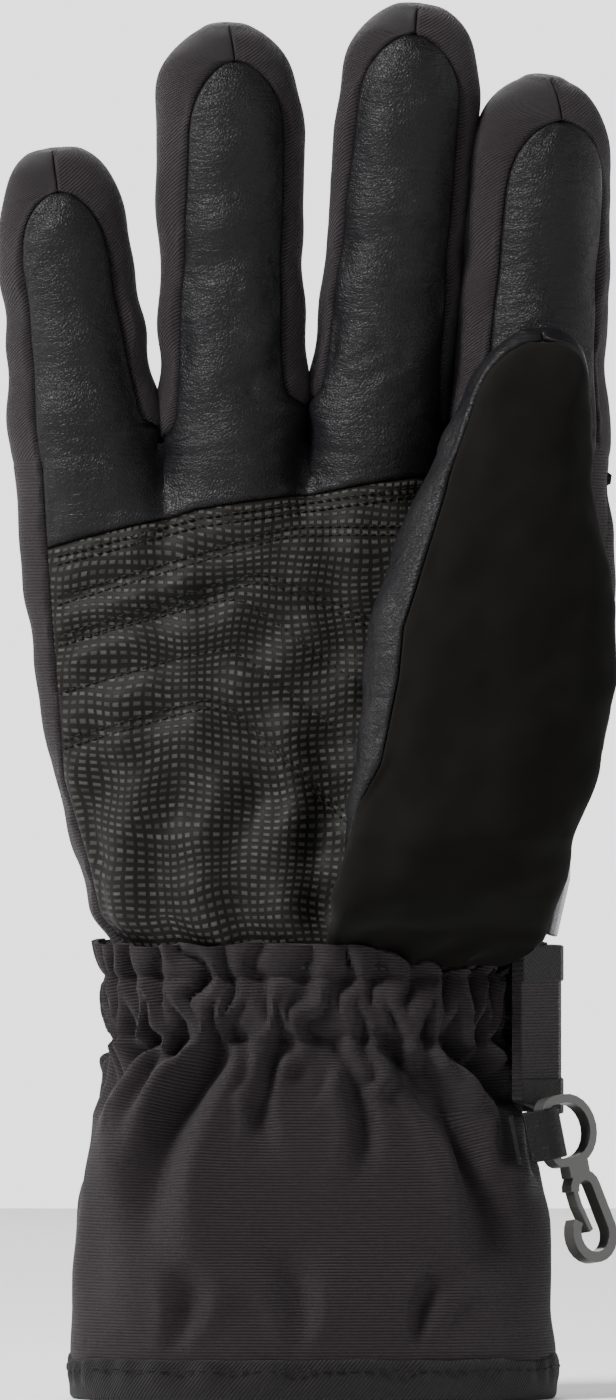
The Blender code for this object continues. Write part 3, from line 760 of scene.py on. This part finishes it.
def make_finger(tube):
    name = tube.name
    split = 0.5 * tube.bend_at
    before, after = tube.bend_at - FINGER_BEND, tube.bend_at + FINGER_BEND
    pieces = (
        ("lower", -9 * MM, split, "hand", f"{name}_lower", 0.5 * MM, 11 * MM),
        ("tip", split, tube.length, f"{name}_lower", f"{name}_tip", before, after),
    )
    for label, low, high, body, next_body, start, end in pieces:
        front = f"{name}_{label}_leather"
        back = f"{name}_{label}_fabric"
        leather_piece = tube.panel(f"{front}_skin", "inner", low, high, LEATHER, leather_relief, 0.6 * MM)
        fabric_piece = tube.panel(f"{back}_skin", "outer", low, high, RIB_SLANT, fabric_relief, 0.8 * MM)
        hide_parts(front)
        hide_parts(back, f"{name}_{label}_liner")
        ends = [tuple(tube.base + tube.along * v) for v in (start, end)]
        bend_over({leather_piece: "leather", fabric_piece: "rib_fabric"}, body, next_body, *ends)


# ---------------- thumb


# Sections of the gusset's foot, in millimetres: height over the thenar's foot, how far its front is
# before the wrist, x of its left edge, and how far its right edge is beyond the wrist.
GUSSET_FOOT = ((-6, 0.5, 4.4, 0.0), (-2, 1.4, 4.4, 0.9), (1.5, 4.3, 5.0, 1.6))
# The seam between softshell and leather on the palm's side: height in millimetres, and its place as a
# share of the thumb's half width.
THUMB_SEAM = (
    (96, 1.0), (118, 1.0), (128, 0.93), (136, 0.80), (155, 0.73), (172, 0.70), (194, 0.71), (213, 0.84),
    (222, 0.9),
)


def tucked_in(grid):
    """A piece's lower end, drawn in behind the ruffle at the wrist."""
    x, y, half_width, half_depth = SLEEVE.at(grid[..., 2])
    across = (grid[..., 0] - x) / half_width
    deep = (grid[..., 1] - y) / half_depth
    ratio = (np.abs(across) ** WRIST_POWER + np.abs(deep) ** WRIST_POWER) ** (1 / WRIST_POWER)
    top = sleeve_top(np.arctan2(deep, across))
    share = 1 - smooth(top - 1.5 * MM, top + 7 * MM, grid[..., 2])
    inside = np.minimum(1, (1 - 1.6 * MM / half_depth) / np.maximum(ratio, 0.01))
    scale = 1 + (inside - 1) * share
    return stacked(x + (grid[..., 0] - x) * scale, y + (grid[..., 1] - y) * scale, grid[..., 2])


def thumb_tube():
    root_z = joint("thumb_root")["pos_m"][2]
    bend_z = joint("thumb_knuckle")["pos_m"][2]
    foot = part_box("thenar_softshell")[0].z
    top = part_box("thumb_tip_leather")[1].z
    # the nodes of each part of the thumb, and the heights at which they are measured
    parts = (
        (["thenar_softshell"], np.linspace(foot + 4 * MM, root_z - 1.2 * MM, 5)),
        (["thumb_lower_softshell", "thumb_lower_leather"], np.linspace(root_z + 1.2 * MM, bend_z - MM, 10)),
        (["thumb_tip_softshell", "thumb_tip_leather"], np.linspace(bend_z + MM, top - 0.4 * MM, 22)),
    )
    measured = np.concatenate([z for _, z in parts])
    boxes = [slice_box(names, z) for names, rows in parts for z in rows]
    low, high = [np.array(corners) for corners in zip(*boxes)]
    # below the thenar the gusset narrows, and its front comes down to the wrist
    wrist_low, wrist_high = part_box("wrist_fabric")
    feet, before, foot_left, beyond = np.array(GUSSET_FOOT).T * MM
    heights = np.concatenate([feet + foot, measured])
    left = np.concatenate([foot_left, low[:, 0]])
    slimmer = 1.2 * MM * (1 - smooth(root_z, bend_z, measured))
    right = np.concatenate([wrist_high.x + beyond, high[:, 0] - slimmer])
    fronts = np.concatenate([wrist_low.y - before, low[:, 1]])
    depth = (high[:, 1] - low[:, 1]) / 2
    root_depth = np.interp(root_z + 2 * MM, measured, depth) - MM
    half_depth = np.where(heights < root_z, root_depth, np.concatenate([0 * feet, depth]))
    centre = stacked((left + right) / 2, fronts + half_depth, heights)
    centre = np.concatenate([centre, [[*centre[-1, :2], top]]])
    half_width = np.append((right - left) / 2, 0.0)
    half_depth = np.append(half_depth, 0.0)
    heights = np.append(heights, top)

    def seams(v):
        heights_mm, shares = zip(*THUMB_SEAM)
        left = -np.arcsin(np.clip(np.interp(v, np.array(heights_mm) * MM, shares), 0, 1))
        right = np.radians(np.interp(v, [root_z, bend_z, top], [120, 112, 92]))
        return left, right, 0.12 * np.ones_like(v)

    arch = (top - 17 * MM, top - 2.4 * MM, 2.4)
    tube = Tube(heights, centre, np.array((1.0, 0, 0)), half_width, half_depth, seams, arch)
    tube.fit = tucked_in
    tube.power = FINGER_POWER + 5 * (1 - smooth(foot, foot + 17 * MM, heights))
    tube.root_z = root_z
    tube.bend_z = bend_z
    return tube


THUMB = thumb_tube()


def soft_relief(grid, edge):
    inside = smooth(0, 4 * MM, edge)
    return (0.45 * waves(grid, 26 * MM, 41) + 0.12 * waves(grid, 9 * MM, 42)) * inside * MM


def make_thumb():
    tube = THUMB
    split = (tube.root_z + tube.bend_z) / 2
    pieces = (
        ("lower", tube.levels[0], split, "hand", "thumb_lower", tube.root_z),
        ("tip", split, tube.levels[-1], "thumb_lower", "thumb_tip", tube.bend_z),
    )
    for label, low, high, body, next_body, hinge in pieces:
        front = f"thumb_{label}_softshell"
        back = f"thumb_{label}_leather"
        shell_piece = tube.panel(f"{front}_skin", "inner", low, high, SOFTSHELL, soft_relief, 0.5 * MM)
        leather_piece = tube.panel(f"{back}_skin", "outer", low, high, LEATHER, leather_relief, 0.6 * MM)
        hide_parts(front)
        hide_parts(back, f"thumb_{label}_liner")
        if label == "lower":
            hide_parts("thenar_softshell")
        ends = [(0, 0, hinge - THUMB_BEND), (0, 0, hinge + THUMB_BEND)]
        bend_over({shell_piece: "softshell", leather_piece: "leather"}, body, next_body, *ends)


# ---------------- hand


HAND_NODES = ["hand_back_fabric", "palm_leather", "palm_grip_patch"]
HAND_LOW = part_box("palm_grip_patch")[0].z
HAND_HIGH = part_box("palm_leather")[1].z - 1.5 * MM
HAND_PROFILE = Profile(HAND_NODES, np.linspace(HAND_LOW + 1.2 * MM, HAND_HIGH, 14))
# Seams of the palm: the left one as (height, x) in millimetres, the right one as a share of the half
# width, and the one between grip patch and leather as (x, height) in millimetres.
LEFT_SEAM = ((96, -43.5), (108, -49.5), (126, -52.9), (144, -53.9), (164, -55.4), (188, -57.0), (210, -58.2))
RIGHT_SEAM_SHARE = 0.93
GRIP_LINE = ((-66, 180.0), (-55.8, 182.0), (-24, 190.5), (24, 197.4), (66, 200.0))
ROOTS = (184 * MM, 200 * MM)  # between these heights the hand's sides turn into the fingers'
PALM_WIDTH, BACK_WIDTH = 118 * MM, 172 * MM  # of the cloth, from seam to seam
HAND_CORE = np.array((0, HAND_Y, 150 * MM))
PALM_FOLD_PITCH = 17 * MM  # between the upright folds of the lower palm
ROW_GAP = 1.8 * MM  # between the two rows of a double quilting line
# Quilting lines: height and x of the ridge in millimetres, how steeply the line falls to the left and
# to the right, and how many rows of stitches it has.
QUILT_LINES = (
    (149.3, -19, 0.30, 0.95, 2),
    (160.3, -17, 0.30, 0.80, 1),
    (170.8, -15, 0.29, 0.75, 1),
    (176.3, -10, 0.33, 0.45, 2),
    (186.2, -4, 0.30, 0.0, 2),
)


def left_seam(z):
    return np.maximum(read_line(LEFT_SEAM, z), hand_edges(z)[0] + 0.7 * MM)


def side_of(tube, z, sign):
    """The finger's outermost x on one side at height z."""
    v = (z - tube.base[2]) / tube.along[2]
    return tube.base[0] + v * tube.along[0] + sign * tube.read(tube.half_width, v)


def hand_edges(z):
    """Left and right edge of the hand. They turn into the little and index fingers' outer sides."""
    x, _, half_width, _ = HAND_PROFILE.at(z)
    turned = smooth(*ROOTS, z)
    left = (1 - turned) * (x - half_width) + turned * side_of(FINGERS["little"], z, -1)
    right = (1 - turned) * (x + half_width) + turned * side_of(FINGERS["index"], z, 1)
    return left, right - 1.5 * MM * (1 - smooth(105 * MM, 140 * MM, z))


def right_seam(z):
    left, right = hand_edges(z)
    return (left + right) / 2 + RIGHT_SEAM_SHARE * (right - left) / 2


def hand_depth(x, z):
    """How far the hand stands out from its middle plane: a flat oval that turns into finger roots."""
    left, right = hand_edges(z)
    half_depth = HAND_PROFILE.at(z)[3]
    share = np.clip(np.abs(2 * x - left - right) / (right - left), 0, 1)
    flat = half_depth * oval_height(share, PALM_POWER)
    power = 5 + 15 * smooth(194 * MM, 203 * MM, z)
    total = 0.0
    for tube in FINGERS.values():
        v = (z - tube.base[2]) / tube.along[2]
        middle = tube.base[0] + v * tube.along[0]
        across = np.clip(np.abs(x - middle) / tube.read(tube.half_width, v), 0, 1)
        depth = tube.read(tube.half_depth, v) * oval_height(across, FINGER_POWER)
        total = total + (depth / (20 * MM)) ** power
    rooted = 20 * MM * total ** (1 / power)
    turned = smooth(180 * MM, 201 * MM, z)
    return flat * (1 - turned) + rooted * turned


def palm_points(x, z):
    return stacked(x, HAND_Y - hand_depth(x, z), z)


def grip_height(x):
    return read_line(GRIP_LINE, x)


def palm_grid(low_line, high_line):
    """Points of the palm between its seams, from one line to another. Both give a height from x."""
    share = eased(PALM_WIDTH)
    guide = left_seam(190 * MM) + share * (right_seam(190 * MM) - left_seam(190 * MM))
    low, high = low_line(guide), high_line(guide)
    z = low + (high - low) * eased(float(np.mean(high - low)))[:, None]
    left = left_seam(z)
    right = right_seam(z)
    x = left + (right - left) * share
    return palm_points(x, z), stacked(x, z), np.minimum(share, 1 - share) * (right - left)


def quilt_height(x, line):
    peak, ridge, left_slope, right_slope, _ = line
    gap = x - ridge * MM
    bend = np.sqrt(gap**2 + (3 * MM) ** 2)
    steep = (left_slope + right_slope) / 2
    return peak * MM - steep * (bend - 3 * MM) + (left_slope - right_slope) / 2 * gap


def quilt_relief(x, z):
    height = 0.0
    for line in QUILT_LINES:
        gap = z - quilt_height(x, line)
        near = np.abs(gap + ROW_GAP / 2 * (line[-1] - 1))
        height = height - 0.55 * np.exp(-((near / (1.4 * MM)) ** 2))
        height = height + 0.4 * np.exp(-(((near - 4.5 * MM) / (2.4 * MM)) ** 2))
    return height * MM * smooth(-58 * MM, -50 * MM, x)


def grip_relief(grid):
    """Padding between the quilting lines, and upright folds in the lower palm."""
    x, z = grid[..., 0], grid[..., 2]
    wander = 3 * MM * waves(grid[..., 2:], 40 * MM, 5)
    folds = np.cos((x + wander + 4.5 * MM) / PALM_FOLD_PITCH * 2 * math.pi)
    low = 1 - smooth(122 * MM, 158 * MM, z)
    return quilt_relief(x, z) + (1.5 * folds * low + 0.35 * waves(grid, 12 * MM, 61)) * MM


def patch_line(x, z):
    """Points on the grip patch along a line given by x and z."""
    points = palm_points(x, z)
    points[:, 1] -= grip_relief(points)
    return points


def make_quilting():
    x = np.linspace(-54 * MM, 26 * MM, 200)
    lines = [grip_height(x) - gap * MM for gap in (2.2, 4.0)]
    for line in QUILT_LINES:
        lines += [quilt_height(x, line) - row * ROW_GAP for row in range(line[-1])]
    spots, ways, outs = [], [], []
    for z in lines:
        kept = z < grip_height(x) - 1.8 * MM
        spot, way = along_line(patch_line(x[kept], z[kept]), PALM_STITCH["pitch"])
        spots.append(spot)
        ways.append(way)
        outs.append(np.tile((0.0, -1.0, 0.0), (len(spot), 1)))
    rows = [np.concatenate(part) for part in (spots, ways, outs)]
    piece = stitches("palm_stitches", *rows, PALM_STITCH)
    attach(piece, "hand")


def hand_piece(piece, node_names):
    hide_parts(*node_names)
    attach(piece, "hand")


def sunk_root(z):
    return SET_BACK + SINK * smooth(199 * MM, HAND_HIGH, z)


def make_palm():
    grid, uv, sides = palm_grid(grip_height, lambda x: HAND_HIGH + 0 * x)
    edge = np.minimum(sides, grid[..., 2] - grip_height(grid[..., 0]))
    height = edge_tuck(edge) + 0.6 * MM * smooth(0, 8 * MM, edge)
    height += leather_relief(grid, edge) - sunk_root(grid[..., 2])
    piece = skin("palm_leather_skin", grid, HAND_CORE, uv, LEATHER, height=height)
    hand_piece(piece, ["palm_leather"])

    grid, uv, sides = palm_grid(lambda x: HAND_LOW - 5 * MM + 0 * x, grip_height)
    edge = np.minimum(sides, grip_height(grid[..., 0]) - grid[..., 2])
    height = edge_tuck(edge) - SET_BACK + 0.4 * MM * smooth(0, 8 * MM, edge)
    height += grip_relief(grid) * smooth(0, 4 * MM, edge) * smooth(90 * MM, 104 * MM, grid[..., 2])
    grid = tucked_in(grid)
    piece = skin("grip_patch_skin", grid, HAND_CORE, uv, GRIP, height=height)
    hand_piece(piece, ["palm_grip_patch"])


def make_hand_back():
    """The ribbed fabric that goes round the back of the hand, from seam to seam."""
    z = steps(HAND_LOW - 4 * MM, HAND_HIGH)[:, None]
    left_edge, right_edge = hand_edges(z)
    centre = (left_edge + right_edge) / 2
    half_width = (right_edge - left_edge) / 2
    left = np.arccos(np.clip((centre - left_seam(z)) / half_width, -1, 1))
    right = np.arccos(np.clip((centre - right_seam(z)) / half_width, -1, 1))
    share = eased(BACK_WIDTH)
    angle = right + (2 * math.pi + left - right) * share
    x = centre - half_width * np.cos(angle)
    y = HAND_Y + np.where(np.sin(angle) > 0, -1, 1) * hand_depth(x, z)
    grid = stacked(x, y, z)
    leg = np.linalg.norm(np.diff(grid, axis=1), axis=2)
    length = np.concatenate([np.zeros((len(grid), 1)), np.cumsum(leg, axis=1)], axis=1)
    edge = np.minimum(length, length[:, -1:] - length)
    height = edge_tuck(edge) + 0.8 * MM * smooth(0, 9 * MM, edge) + fabric_relief(grid, edge)
    height -= sunk_root(z)
    grid = tucked_in(grid)
    piece = skin("hand_back_skin", grid, HAND_CORE, stacked(length, z), RIB, height=height)
    hand_piece(piece, ["hand_back_fabric", "hand_liner"])


# ---------------- wrist and cuff


HEM_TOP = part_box("hem_binding")[1].z
WRIST_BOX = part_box("wrist_fabric")
CUFF_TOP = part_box("cuff_fabric")[1].z
SLEEVE = Profile(
    ["wrist_fabric", "cuff_fabric"],
    [
        *np.linspace(HEM_TOP + MM, CUFF_TOP - MM, 12),
        *np.linspace(WRIST_BOX[0].z + MM, WRIST_BOX[1].z - 1.4 * MM, 8),
    ],
)
LOW_ROW, HIGH_ROW = [
    sum(corner.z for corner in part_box(f"wrist_elastic_{end}")) / 2 for end in ("lower", "upper")
]
PUCKERS = 36  # ridges round the wrist
RIDGE = 0.36  # half the width of a ridge, as a share of the distance between two
LINING_INSET = 5.4 * MM  # deep enough to stay behind the sleeve's folds
FOLD_DEPTH = 1.35  # the cuff's folds are this much deeper and narrower than their table says
FOLD_WIDTH = 0.8
# The cuff's larger folds: where each starts and ends (x, z), its depth and its width, in millimetres.
LONG_FOLDS = (
    (-18, 76, -37, 28, 4.6, 6.5),
    (-33, 77, -47, 60, 2.6, 2.8),
    (-26, 77, -42, 52, 1.8, 2.6),
    (-6, 76, -9, 52, 1.6, 3.0),
    (6, 76, 12, 46, 2.2, 3.4),
    (17, 76, 42, 29, 4.2, 5.0),
    (24, 74, 37, 44, 2.2, 2.8),
    (30, 76, 52, 45, 4.4, 4.2),
    (40, 76, 48, 58, 2.4, 2.4),
    (-30, 10, -26, 30, 2.0, 4.0),
    (-2, 10, -6, 32, 2.0, 4.5),
    (24, 10, 30, 28, 1.8, 3.5),
)


def full_turn(count):
    """Angles once round the wrist, from its back."""
    return np.linspace(math.pi / 2, 5 * math.pi / 2, count)


def circle(angle, radius=NOISE_RADIUS):
    return stacked(np.cos(angle), np.sin(angle)) * radius


def wrist_ring(angle, z):
    """Places on a round tube, where the wrist's noise is read."""
    return np.concatenate([circle(angle), z[..., None]], axis=-1)


def oval(angle, x, y, half_width, half_depth):
    c, s = np.cos(angle), np.sin(angle)
    size = oval_scale(c, s, WRIST_POWER)
    return x + half_width * c * size, y + half_depth * s * size


def sleeve_points(angle, z, inset=0.0):
    x, y, half_width, half_depth = SLEEVE.at(z)
    px, py = oval(angle, x, y, half_width - inset, half_depth - inset)
    return stacked(px, py, z)


def crest(place, width):
    """Round ridges at whole numbers, with flat valleys between them, from 0 to 1."""
    return np.clip(1 - (np.abs(place - np.round(place)) / width) ** 2, 0, 1)


def crest_sizes(place, seed, low, high):
    """A different size for each ridge, looked up by its whole number."""
    sizes = np.random.default_rng(seed).uniform(low, high, PUCKERS)
    return sizes[np.round(place).astype(int) % PUCKERS]


def wrist_relief(place, z):
    """Ridges at the two elastic rows: each splits in two on its way down, so they make diamonds."""
    down = np.clip((HIGH_ROW - z) / (HIGH_ROW - LOW_ROW), 0, 1)
    left = crest(place + down / 2, RIDGE) * crest_sizes(place + down / 2, 41, 0.6, 1.1)
    right = crest(place - down / 2, RIDGE) * crest_sizes(place - down / 2, 42, 0.6, 1.1)
    height = 4.2 * np.maximum(left, right) + 1.2 * np.sin(math.pi * down) - 1.4
    up = np.clip((z - HIGH_ROW) / (9 * MM), 0, 1)
    ruffle = crest(place, RIDGE + 0.22 * up) * crest_sizes(place, 43, 0.7, 1.1) * 3.2 + 1.6 * up - 1
    return np.where(z > HIGH_ROW, ruffle, height)


def short_folds(place, below):
    """The ridges that run on below the lower row, each for its own length."""
    place = place + 0.5
    length = crest_sizes(place, 44, 7 * MM, 26 * MM)
    fade = np.clip(1 - below / length, 0, 1) ** 1.3
    ridge = crest(place, RIDGE + 0.12 * np.clip(below / length, 0, 1))
    return 3.6 * ridge * fade - np.clip(1 - below / (6 * MM), 0, 1)


def long_folds(x, z):
    """Hollows that fan out from the gathers and die out above the hem, each with a raised lip."""
    height = np.zeros(x.shape)
    for start_x, start_z, end_x, end_z, depth, width in LONG_FOLDS:
        run = np.array((end_x - start_x, end_z - start_z)) * MM
        length = math.hypot(*run)
        run = run / length
        away_x, away_z = x - start_x * MM, z - start_z * MM
        share = (away_x * run[0] + away_z * run[1]) / length
        bow = 0.10 * length * np.sin(math.pi * np.clip(share, 0, 1)) * np.sign(end_x)
        across = (away_x * -run[1] + away_z * run[0] - bow) / (FOLD_WIDTH * width * MM)
        across = across / (0.55 + 0.75 * np.clip(share, 0, 1))
        lip = 0.45 * np.exp(-((np.abs(across) - 1.7) ** 2))
        along = smooth(-0.12, 0.12, share) * (1 - smooth(0.55, 1.1, share))
        height += FOLD_DEPTH * depth * (lip - np.exp(-(across**2))) * along
    return height


def sleeve_relief(angle, z):
    """Puckers at the two elastic rows, diamonds between them, and folds that fan out down the cuff."""
    ring = wrist_ring(angle, z)
    place = (PUCKERS * angle + 1.1 * waves(ring * (1, 1, 0.3), 30 * MM, 11)) / (2 * math.pi)
    place = place + 0.13 * waves(ring, 12 * MM, 12)
    below = np.clip(LOW_ROW - z, 0, None)
    rows = np.exp(-(((z - LOW_ROW) / (1.1 * MM)) ** 2)) + np.exp(-(((z - HIGH_ROW) / (1.1 * MM)) ** 2))
    gathers = np.where(z > LOW_ROW, wrist_relief(place, z), short_folds(place, below))
    x = np.where(np.sin(angle) < 0, 1, -1) * sleeve_points(angle, z)[..., 0]
    facing = smooth(0.0, 0.22, np.abs(np.sin(angle)))
    height = gathers - 0.8 * rows + long_folds(x, z) * facing
    height += 0.5 * waves(ring * (1, 1, 0.6), 26 * MM, 24) * smooth(0, 20 * MM, below)
    nips = creases(ring * (1, 1, 0.25), 11 * MM, 15, 5) * (1 - smooth(HEM_TOP, HEM_TOP + 7 * MM, z))
    height -= 0.9 * nips
    # the sleeve lies flat under the row where the tab is sewn on
    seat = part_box("tab_anchor")
    seat_x = np.abs(x - (seat[0].x + seat[1].x) / 2) - 2 * MM
    seat_z = np.abs(z - (seat[0].z + seat[1].z) / 2) - 5 * MM
    seated = (1 - smooth(0, 5 * MM, seat_x)) * (1 - smooth(0, 6 * MM, seat_z))
    seated = seated * facing * (np.sin(angle) < 0)
    height = height * (1 - seated) + 0.9 * seated
    return (height - 0.8) * MM * smooth(HEM_TOP - 1 * MM, HEM_TOP + 12 * MM, z)


def sleeve_top(angle):
    """The wrist's free edge: level at the back and left, and scalloped lower in front of the thumb."""
    x = np.cos(angle) * 47 * MM
    front = smooth(0.0, 0.5, -np.sin(angle))
    scallop = np.abs(np.cos(PUCKERS * angle / 2)) ** 0.7
    dip = front * smooth(8 * MM, 30 * MM, x)
    wander = 0.5 * waves(circle(angle), 20 * MM, 21)
    return WRIST_BOX[1].z + (0.6 + wander - dip * (7.5 - 3.2 * scallop)) * MM


def make_sleeve():
    angle = full_turn(361)
    share = steps(0, 1, 0.85 * MM / (WRIST_BOX[1].z - HEM_TOP))[:, None]
    bottom = HEM_TOP - 2.5 * MM
    z = bottom + (sleeve_top(angle) - bottom) * share
    angle = angle + 0 * z
    grid = sleeve_points(angle, z)
    height = sleeve_relief(angle, z) - SET_BACK
    # the lowest rows go in behind the hem's tape
    height = np.where(z < HEM_TOP + MM, height - 1.2 * MM * (1 - smooth(bottom, HEM_TOP + MM, z)), height)
    uv = stacked(angle * CLOTH_RADIUS, z)
    piece = skin("sleeve_skin", grid, stacked(0, HAND_Y, z), uv, RIB, height=height, wrap=True)
    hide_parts("wrist_fabric", "cuff_fabric", "wrist_elastic_lower", "wrist_elastic_upper")
    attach(piece, "hand")
    return piece


def make_lining():
    """The lining inside the cuff, which goes on into the hand and closes there like a pocket."""
    angle = full_turn(181)
    z = steps(3 * MM, WRIST_BOX[1].z, 2 * MM)[:, None] + 0 * angle
    angle = angle + 0 * z
    tube = sleeve_points(angle, z, LINING_INSET)
    ring = wrist_ring(angle, z)
    centre = tube.mean(axis=1, keepdims=True)
    rise = np.linspace(0, math.pi / 2, 24)[1:, None, None]
    pocket = centre[-1:] + (tube[-1:] - centre[-1:]) * np.cos(rise) + UP * np.sin(rise) * 60 * MM
    grid = np.concatenate([tube, pocket])
    folds = 0.4 * MM * waves(ring * (1, 1, 0.4), 18 * MM, 31) + np.minimum(sleeve_relief(angle, z), 0)
    folds = np.concatenate([folds, np.zeros(pocket.shape[:2])])
    core = np.concatenate([centre, np.repeat(centre[-1:], len(pocket), axis=0)]) * np.ones_like(grid)
    uv = stacked(np.concatenate([angle, angle[: len(pocket)]]) * 40 * MM, grid[..., 2])
    piece = skin("lining_skin", grid, core, uv, LINING, height=folds, wrap=True)
    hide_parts("cuff_lining", "wrist_liner")
    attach(piece, "hand")


def make_hem():
    """Folded tape round the cuff's foot, with a row of stitches near its upper edge."""
    x, y, half_width, half_depth = Profile(["hem_binding"], [3 * MM, 4 * MM]).at(3.5 * MM)
    angle = full_turn(361)
    section = np.array(HEM_SECTION) * MM
    turn = np.concatenate([[0], np.cumsum(np.linalg.norm(np.diff(section, axis=0), axis=1))])
    at = steps(0, turn[-1], 0.55 * MM)
    out = np.interp(at, turn, section[:, 0])[:, None]
    z = np.interp(at, turn, section[:, 1])[:, None]
    ring = circle(angle, 50 * MM)
    ripple = 0.35 * MM * waves(ring, 9 * MM, 17) * smooth(2 * MM, 6 * MM, z)
    reach = out + ripple
    px, py = oval(angle, x, y, half_width + reach - 1.2 * MM, half_depth + reach - 1.2 * MM)
    rise = 0.5 * MM * waves(ring, 34 * MM, 18) * smooth(3 * MM, 8 * MM, z)
    grid = stacked(px, py, z + rise)
    uv = stacked(angle * CLOTH_RADIUS, at[:, None])
    core = np.array((x, y, 4 * MM))
    piece = skin("hem_binding_skin", grid, core, uv, TWILL, wall=0.7 * MM, wrap=True)
    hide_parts("hem_binding")
    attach(piece, "hand")
    line_z = HEM_TOP - 2.4 * MM
    px, py = oval(angle, x, y, half_width - 1.15 * MM, half_depth - 1.15 * MM)
    line = stacked(px, py, line_z + 0.3 * MM * waves(ring, 34 * MM, 18))
    spots, ways = along_line(line, HEM_STITCH["pitch"])
    outs = unit(spots - (x, y, line_z))
    seam = stitches("hem_stitches", spots + outs * 0.5 * MM, ways, outs, HEM_STITCH)
    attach(seam, "hand")
    return piece, seam


# ---------------- strap, tab and clip


STRAP_END = np.array((-6.6, -7.0, 0)) * MM  # how far the strap's front end goes on, round the sleeve
BINDING_WIDTH = 12 * MM  # a strap piece taller than this is the band, and not a binding


def strap_uv(co):
    middle = SLEEVE.at(85 * MM)
    return stacked(np.arctan2(co[:, 0] - middle[0], co[:, 1] - middle[1]) * 46 * MM, co[:, 2])


def upper_half(co):
    return co[:, 2] > (co[:, 2].min() + co[:, 2].max()) / 2


def strap_shape(co):
    """The fixed half's front end goes on round the sleeve's side, and the band in under its bindings."""
    front = co[:, 1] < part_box("strap_fixed")[0].y + 1.1 * MM
    co[front] += STRAP_END
    tab_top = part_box("clip_leather_tab")[1].z + MM
    co[front & (co[:, 2] < tab_top), 2] = tab_top
    if np.ptp(co[:, 2]) > BINDING_WIDTH:
        co[:, 2] += np.where(upper_half(co), 1, -1) * 0.8 * MM
    return co


def raised_root(co):
    """The gate, with its root reaching into the ring."""
    co[:, 2] += np.where(upper_half(co), 0.9, 0) * MM
    return co


def make_strap():
    finish = {"": RIB, "_binding_lower": TWILL, "_binding_upper": TWILL}
    for half, body in {"strap_fixed": "hand", "strap_flap": "strap_flap"}.items():
        for part, material in finish.items():
            piece = copy_of(half + part, material, 0.45 * MM, strap_uv, strap_shape)
            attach(piece, body)
    for name, body in (("strap_hook_tape", "strap_flap"), ("strap_loop_tape", "hand")):
        piece = copy_of(name, VELCRO, 0.3 * MM, strap_uv)
        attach(piece, body)


def make_clip():
    for name, body, material, slot, bevel in (
        ("clip_frame", "clip", PLASTIC, "clip_plastic", 0.35),
        ("clip_gate", "gate", PLASTIC, "clip_plastic", 0.2),
        ("clip_leather_tab", "tab", LEATHER, "leather", 0.35),
        ("tab_anchor", "hand", LEATHER, "leather", 0.3),
        ("back_piping", "hand", SILVER, "reflective", 0.3),
    ):
        shape = raised_root if name == "clip_gate" else None
        piece = copy_of(name, material, bevel * MM, shape=shape)
        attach(piece, body)


# ---------------- stage


GLOVE_MIDDLE = Vector((0, 0, 0.15))  # the lights point at it


def make_stage():
    bpy.ops.mesh.primitive_plane_add(size=3.0, location=(0, 0, 0))
    floor = bpy.context.object
    floor.name = "floor"
    material, _ = new_material("pale_floor", (0.8, 0.8, 0.8), 0.9)
    floor.data.materials.append(material)
    world = bpy.data.worlds.new("studio")
    bpy.context.scene.world = world
    world.use_nodes = True
    # a bright backdrop all round, under a dimmer ceiling
    direction = node(world, "ShaderNodeTexCoord").outputs["Generated"]
    parts = node(world, "ShaderNodeSeparateXYZ", {0: direction})
    heights = {"Value": parts.outputs["Z"], "From Min": 0.04, "From Max": 0.22, "To Min": 2.3, "To Max": 0.12}
    strength = node(world, "ShaderNodeMapRange", heights, interpolation_type="SMOOTHSTEP")
    background = world.node_tree.nodes["Background"]
    link(world, strength.outputs["Result"], background.inputs["Strength"])
    background.inputs["Color"].default_value = (1, 1, 1, 1)
    # name, place, size and power in watts
    lights = (
        ("key", (-1.0, -0.75, 1.25), 0.4, 76),
        ("left_edge", (-1.5, 0.2, 0.5), 0.8, 9),
        ("right_edge", (1.5, 0.2, 0.6), 0.8, 8),
        ("fill", (1.1, -1.3, 0.9), 0.8, 9),
        ("back", (0.0, 1.5, 1.2), 1.0, 24),
    )
    for name, where, size, power in lights:
        data = bpy.data.lights.new(name, "AREA")
        data.size = size
        data.energy = power
        light = bpy.data.objects.new(name, data)
        light.location = where
        light.rotation_euler = (GLOVE_MIDDLE - Vector(where)).to_track_quat("-Z", "Y").to_euler()
        bpy.context.scene.collection.objects.link(light)


def make_camera():
    """A long lens straight in front of the palm, with the glove's height filling the picture."""
    distance = 4.0
    shown_height = 300 * MM
    middle = (cad_bounds[0][2] + cad_bounds[1][2]) / 2
    data = bpy.data.cameras.new("camera")
    data.sensor_fit = "VERTICAL"
    data.sensor_height = 24
    data.lens = data.sensor_height / (shown_height / distance)
    camera = bpy.data.objects.new("camera", data)
    camera.location = (0, HAND_Y - distance, middle)
    camera.rotation_euler = (math.radians(90), 0, 0)
    bpy.context.scene.collection.objects.link(camera)
    bpy.context.scene.camera = camera


make_camera()
make_stage()
for finger in FINGERS.values():
    make_finger(finger)
make_thumb()
make_palm()
make_quilting()
make_hand_back()
sleeve = make_sleeve()
make_lining()
hem, hem_stitches = make_hem()
make_strap()
make_clip()
